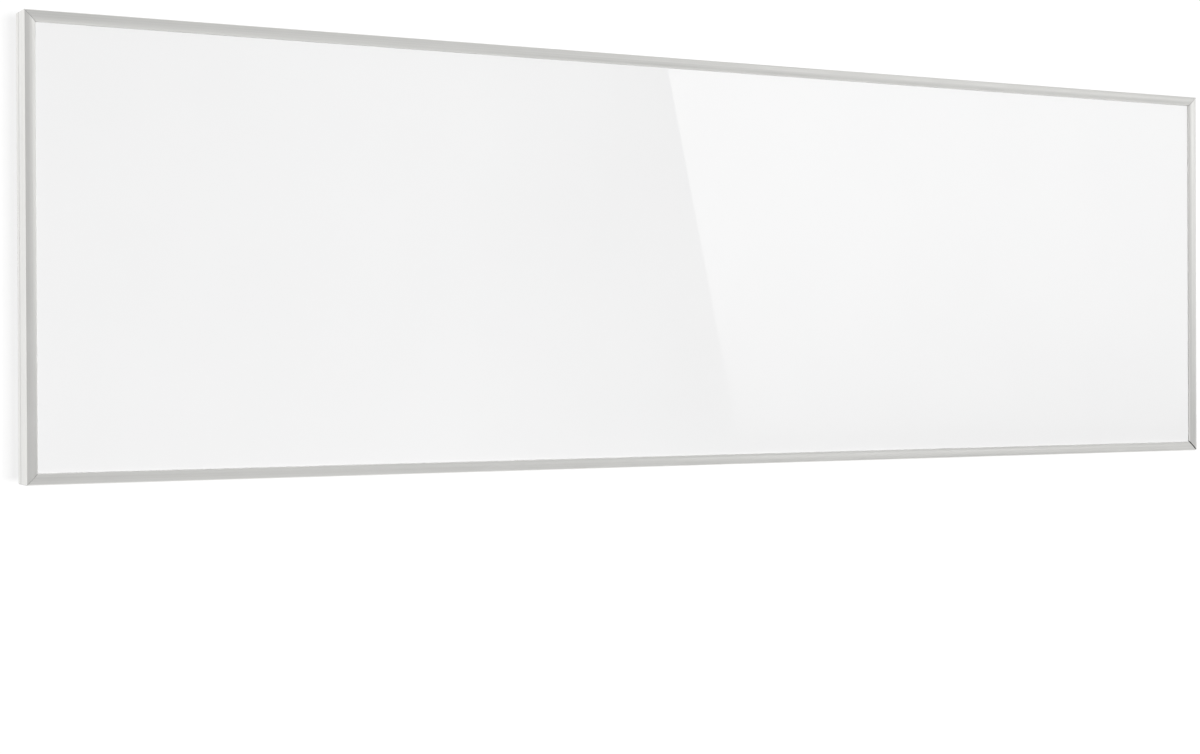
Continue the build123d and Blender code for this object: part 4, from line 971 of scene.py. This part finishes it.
class HEATER_OT_button_and_light(bpy.types.Operator):
    """Pairing button with a dished tip, its light guide and the switch behind them"""

    bl_idname = "heater.button_and_light"
    bl_label = "Button and Light"

    collar_gap = 0.002
    collar_height = 0.001

    def execute(self, context):
        skin = moulded(3000.0)
        cap = worked_finish("grey_moulding", (0.20, 0.21, 0.22), skin, roughness=(0.3, 0.45))
        low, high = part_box("pairing_button")
        centre = (low + high) / 2
        place = facing((centre.x, centre.y, low.z), (0, 0, -1))
        depth = low.z - high.z
        collar = low.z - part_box("control_cover")[0].z - self.collar_gap
        foot = collar - self.collar_height
        # Radius and height of each ring, from the dished tip to the end that meets the plunger
        rings = [(0, -0.00035), (0.0012, -0.0003), (0.0021, -0.00008), (0.0024, 0.0)]
        rings += [(0.00275, -0.0001), (0.003, -0.0004), (0.003, collar), (0.004, collar)]
        rings += [(0.004, foot), (0.0016, foot), (0.0016, depth), (0, depth)]
        shape = bmesh.new()
        revolve(shape, place, rings, segments=40)
        new_piece("button_cap", shape, (cap,), ("pairing_button",), body=BUTTON)
        clear = worked_finish(
            "clear_moulding", (0.92, 0.93, 0.93), skin, spread=0.01, roughness=(0.08, 0.16),
            IOR=1.49, **{"Transmission Weight": 0.85},
        )
        lamp = worked_finish("led_body", (0.80, 0.78, 0.66), skin, roughness=(0.2, 0.35))
        dress(clear, "light_guide")
        dress(lamp, "status_led")
        dress(cap, "tactile_plunger")
        case = worked_finish("module_case", (0.035, 0.035, 0.04), skin, spread=0.2)
        dress(case, "tactile_switch")
        return {"FINISHED"}


class HEATER_OT_cable_gland(bpy.types.Operator):
    """Cable gland: hexagon collar, ribbed dome nut and rubber seal"""

    bl_idname = "heater.cable_gland"
    bl_label = "Cable Gland"

    nose = 0.005
    bore = 0.0036
    bore_depth = 0.0075
    ribs = 24
    rib_depth = 0.00022
    rib_span = 0.0044, 0.0022  # from the mouth, foot and top
    rib_radius = 0.0068

    def execute(self, context):
        colours, skin = context.scene.heater_colours, moulded(2400.0)
        nylon = worked_finish("grey_nylon", colours.gland_plastic, skin, spread=0.04)
        rubber = worked_finish(
            "black_rubber", colours.rubber, skin, spread=0.3, roughness=(0.6, 0.8), dust=0.2
        )
        low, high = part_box("gland_cap")
        centre = (low + high) / 2
        total = high.z - low.z
        place = facing((centre.x, centre.y, low.z), (0, 0, -1))
        trim = hexagon(2 * min(high.x - centre.x, high.y - centre.y))
        nose = self.nose
        rib_foot, rib_top = self.rib_span

        def warp(angle, radius, height):
            """Hexagon on the nut, fine ribs on the nose and a plain turned mouth."""
            if height < -nose:
                return trim(angle, radius, height)
            if -rib_foot <= height <= -rib_top and radius > self.rib_radius:
                return radius - self.rib_depth * (math.cos(angle * self.ribs) > 0.2), height
            return radius, height

        # Radius and height of each ring: the bore, the mouth, the ribbed nose and the hexagon
        rings = [(self.bore, -self.bore_depth), (self.bore, -0.0008), (0.0041, -0.0001)]
        rings += [(0.0047, 0.0), (0.0058, -0.0004), (0.0066, -0.0012), (0.0071, -0.0021)]
        rings += [(0.0072, -0.0023), (0.0072, -nose + 0.0007), (0.0071, -nose - 0.0001)]
        rings += [(0.0078, -nose - 0.0002), (0.0083, -nose - 0.0006), (0.00862, -nose - 0.0011)]
        rings += [(0.00862, -total + 0.0006), (0.0082, -total), (0.00605, -total)]
        rings += [(0.00605, -self.bore_depth), (self.bore, -self.bore_depth)]
        shape = bmesh.new()
        revolve(shape, place, rings, segments=144, warp=warp)
        bmesh.ops.remove_doubles(shape, verts=shape.verts, dist=0.000001)
        new_piece("gland_nut", shape, (nylon,), ("gland_cap",), sharp=28.0)
        dress(nylon, "gland_body", "gland_locknut")
        dress(rubber, "gland_seal", "wiring_grommet")
        return {"FINISHED"}


class HEATER_OT_circuit(bpy.types.Operator):
    """Circuit board and the parts on it, closed inside the control box"""

    bl_idname = "heater.circuit"
    bl_label = "Circuit"

    def execute(self, context):
        skin, drawn = moulded(2600.0), dict(roughness=(0.25, 0.45))
        board = worked_finish(
            "green_laminate", (0.03, 0.16, 0.07), moulded(1400.0), spread=0.2, roughness=(0.25, 0.4)
        )
        case = worked_finish("module_case", (0.035, 0.035, 0.04), skin, spread=0.2)
        shield = metal("shield_tin", (0.62, 0.62, 0.60), ALONG_X, **drawn)
        relay = worked_finish("relay_case", (0.03, 0.10, 0.30), skin, spread=0.08)
        terminal = worked_finish("terminal_case", (0.06, 0.30, 0.10), skin, spread=0.06)
        brass = metal("tinned_brass", (0.70, 0.50, 0.24), ALONG_Z, **drawn)
        limiter = metal("nickel_can", (0.60, 0.60, 0.58), ALL_ROUND, roughness=(0.3, 0.45))
        dress(board, "circuit_board")
        dress(case, "power_module")
        dress(shield, "wireless_module")
        dress(relay, "relay")
        dress(terminal, "terminal_block")
        dress(brass, "track_tabs", "switch_tabs", "earth_terminal")
        dress(limiter, "temperature_limiter_1", "temperature_limiter_2")
        return {"FINISHED"}


class HEATER_OT_wiring(bpy.types.Operator):
    """Insulated leads between the terminals, the limiters and the heating track"""

    bl_idname = "heater.wiring"
    bl_label = "Wiring"

    def execute(self, context):
        skin, even = moulded(1900.0), (drawn_grain, {"Stretch": (260.0, 260.0, 260.0)})
        gloss, yellow = dict(roughness=(0.35, 0.5)), (0.75, 0.70, 0.06)
        brown = worked_finish("brown_insulation", (0.16, 0.07, 0.035), skin, **gloss)
        blue = worked_finish("blue_insulation", (0.04, 0.16, 0.42), skin, **gloss)
        earth = worked_finish("earth_insulation", (0.10, 0.36, 0.08), even, second=yellow, **gloss)
        dress(brown, "live_lead", "feed_lead", "link_lead", "switch_leads")
        dress(blue, "neutral_lead")
        dress(earth, "earth_lead")
        return {"FINISHED"}


class HEATER_OT_studio(bpy.types.Operator):
    """White wall, pale floor, soft lamps, cards that only gloss and metal see, and the camera"""

    bl_idname = "heater.studio"
    bl_label = "Studio"

    wall_gap = 0.0006
    room_reach = 7.0
    room_height = 4
    near_and_far = 0.9, 3.5  # where the backdrop starts to turn plain white, and where it is

    def seen_directly(self, tree):
        """1 for rays from the camera and for what gloss and clear pieces show, else 0."""
        path = add(tree, "LightPath").outputs
        glossy = maths(tree, "MAXIMUM", path["Is Camera Ray"], path["Is Glossy Ray"])
        return maths(tree, "MAXIMUM", glossy, path["Is Transmission Ray"])

    def sheet(self, name, corners):
        """A flat stage sheet, with its material's empty tree and the sheet's own coordinates."""
        material, tree = new_material(name)
        shape = bmesh.new()
        shape.faces.new([shape.verts.new(corner) for corner in corners])
        sheet = mesh_in_scene(name, shape, (material,))
        return sheet, tree, add(tree, "TexCoord").outputs["Object"]

    def backdrop(self, name, corners, studio):
        """A one-sided sheet that shows white, keeps a soft shadow and is clear from behind."""
        sheet, tree, place = self.sheet(name, corners)
        reach = add(tree, "VectorMath", {0: place}, operation="LENGTH").outputs["Value"]
        level = ramp(tree, reach, *self.near_and_far, studio.backdrop_glow, 1.0)
        white = add(tree, "Emission", {"Strength": times(tree, self.seen_directly(tree), level)})
        near = ramp(tree, reach, *self.near_and_far, 1.0, 0.0)
        tint = blend(tree, near, (0.0, 0.0, 0.0, 1.0), (*studio.backdrop, 1.0))
        matt = add(tree, "BsdfDiffuse", {"Color": tint})
        front = add(tree, "AddShader", {0: white.outputs[0], 1: matt.outputs[0]})
        behind = add(tree, "NewGeometry").outputs["Backfacing"]
        clear = add(tree, "BsdfTransparent")
        sides = {0: behind, 1: front.outputs[0], 2: clear.outputs[0]}
        add(tree, "OutputMaterial", {"Surface": add(tree, "MixShader", sides).outputs[0]})
        return sheet

    def lamp(self, name, place, size, power, glossy=False):
        """A soft rectangular lamp aimed at the heater."""
        data = bpy.data.lights.new(name, "AREA")
        data.shape = "RECTANGLE"
        data.size, data.size_y = size
        data.energy = power
        lamp = in_scene(name, data)
        lamp.matrix_world = facing(place, place)
        lamp.visible_camera = False
        lamp.visible_glossy = glossy

    def card(self, name, corners, glow, fade=0.0):
        """A card that only gloss and metal see. Its glow is given at places across it, in metres,
        and with a fade it rises from nothing at the foot and adds to what stands behind."""
        sheet, tree, place = self.sheet(name, corners)
        sheet.visible_camera = sheet.visible_diffuse = sheet.visible_shadow = False
        sheet.visible_transmission = False
        place = add(tree, "SeparateXYZ", {0: place}).outputs
        first, last = glow[0][0], glow[-1][0]
        across = add(tree, "ValToRGB", {0: ramp(tree, place[0], first, last)})
        stops = across.color_ramp.elements
        while len(stops) < len(glow):
            stops.new(0.5)
        for stop, (x, share) in zip(stops, glow):
            stop.position = (x - first) / (last - first)
            stop.color = (share, share, share, 1.0)
        height = ramp(tree, place[2], corners[0][2], corners[2][2])
        strength = times(tree, across.outputs[0], maths(tree, "POWER", height, fade))
        light = add(tree, "Emission", {"Strength": strength}).outputs[0]
        if fade:
            clear = add(tree, "BsdfTransparent").outputs[0]
            light = add(tree, "AddShader", {0: light, 1: clear}).outputs[0]
        add(tree, "OutputMaterial", {"Surface": light})

    def cards(self, studio):
        """The bright card that the front mirrors, and dimmer ones round it for the rails. Corners
        and the places along a glow are in metres."""

        def upright(left, right, y, foot, top):
            return (left, y, foot), (right, y, foot), (right, y, top), (left, y, top)

        full, grey = studio.card_light, studio.room_grey
        bright = ((1.267, -2.0, -0.21), (4.2, -2.0, -0.21), (4.2, -2.0, 0.8), (1.046, -2.0, 0.8))
        glow = ((1.1, full), (2.48, full), (2.75, full * 0.2), (4.2, full * 0.6))
        self.card("bright_card", bright, glow, fade=0.5)
        low = upright(-2.2, 3.4, -2.0, -0.93, -0.36)
        self.card("low_card", low, ((-2.2, 0.7), (0.6, 0.8), (1.2, 0.3), (3.4, 0.4)))
        side = upright(3.2, 4.8, -2.05, -0.93, 0.3)
        self.card("side_card", side, ((3.2, 0.5), (3.7, 1.3), (4.8, 1.4)))
        high = upright(0.0, 2.2, -2.05, 0.5, 0.95)
        self.card("high_card", high, ((0.0, 0.0), (0.7, 0.35), (1.2, 0.55), (2.2, 0.0)), fade=0.5)
        left = ((-2.6, -0.3, -0.7), (-2.4, -1.5, -0.7), (-2.4, -1.5, 0.7), (-2.6, -0.3, 0.7))
        self.card("left_card", left, ((-2.6, 1.1), (-2.4, 1.3)))
        shares = ((-3.4, 1.3), (-1.2, 1.1), (-0.3, 1.1), (1.0, 1.4), (1.5, 0.9), (4.4, 0.8))
        glow = [(x, share * grey) for x, share in shares]
        self.card("grey_card", upright(-3.4, 4.4, -2.6, -0.9, 4.2), glow)

    def execute(self, context):
        scene, studio = context.scene, context.scene.heater_studio
        y, far, floor, top = self.wall_gap, self.room_reach, -studio.floor_drop, self.room_height
        wall = [(-far, y, floor), (far, y, floor), (far, y, top), (-far, y, top)]
        wall = self.backdrop("studio_wall", wall, studio)
        wall.visible_diffuse = wall.visible_shadow = False
        ground = [(-far, -far, floor), (far, -far, floor), (far, far, floor), (-far, far, floor)]
        self.backdrop("studio_floor", ground, studio)
        self.lamp("front_lamp", (-0.25, -5.0, -0.37), (1.5, 0.85), studio.front_lamp)
        self.lamp("back_lamp", (-1.2, 2.6, 1.4), (1.6, 1.2), studio.back_lamp, glossy=True)
        self.lamp("back_fill", (1.6, 2.4, -0.1), (1.2, 1.2), studio.back_lamp / 2)
        self.cards(studio)

        world = scene.world = bpy.data.worlds.new("studio_light")
        world.use_nodes = True
        tree = world.node_tree
        tree.nodes.clear()
        strength = ramp(tree, self.seen_directly(tree), 0.0, 1.0, studio.room_light, 1.0)
        background = add(tree, "Background", {"Color": (1.0, 1.0, 1.0, 1.0), "Strength": strength})
        add(tree, "OutputWorld", {"Surface": background.outputs[0]})

        lens = bpy.data.cameras.new("camera")
        lens.lens = studio.focal_length
        lens.sensor_width = 36.0
        camera = in_scene("camera", lens)
        camera.location = studio.camera_place
        camera.rotation_euler = Euler(studio.camera_turn)
        scene.camera = camera
        scene.view_settings.view_transform = "Standard"
        return {"FINISHED"}


class VIEW3D_PT_heater(bpy.types.Panel):
    """Lists the heater's operators and settings"""

    bl_label = "Infrared Panel Heater"
    bl_space_type = "VIEW_3D"
    bl_region_type = "UI"
    bl_category = "Heater"

    def draw(self, context):
        for operator in OPERATORS:
            self.layout.operator(operator.bl_idname)
        for name in SETTINGS:
            group = getattr(context.scene, name)
            box = self.layout.box()
            box.label(text=name.removeprefix("heater_").title())
            for setting in group.__annotations__:
                box.prop(group, setting)


SETTINGS = {
    "heater_sizes": HeaterSizes,
    "heater_colours": HeaterColours,
    "heater_studio": StudioSettings,
}
OPERATORS = (
    HEATER_OT_frame_rails,
    HEATER_OT_front_panel,
    HEATER_OT_heated_stack,
    HEATER_OT_back_plate,
    HEATER_OT_hangers,
    HEATER_OT_control_box,
    HEATER_OT_power_switch,
    HEATER_OT_button_and_light,
    HEATER_OT_cable_gland,
    HEATER_OT_circuit,
    HEATER_OT_wiring,
    HEATER_OT_studio,
)
CLASSES = (*SETTINGS.values(), *OPERATORS, VIEW3D_PT_heater)


def register():
    """Adds the settings, the operators and the panel."""
    for cls in CLASSES:
        bpy.utils.register_class(cls)
    for name, group in SETTINGS.items():
        setattr(bpy.types.Scene, name, PointerProperty(type=group))


def unregister():
    """Takes them away again."""
    for name in SETTINGS:
        delattr(bpy.types.Scene, name)
    for cls in reversed(CLASSES):
        bpy.utils.unregister_class(cls)


def main():
    register()
    for operator in OPERATORS:
        family, action = operator.bl_idname.split(".")
        getattr(getattr(bpy.ops, family), action)()


if __name__ == "__main__":
    main()
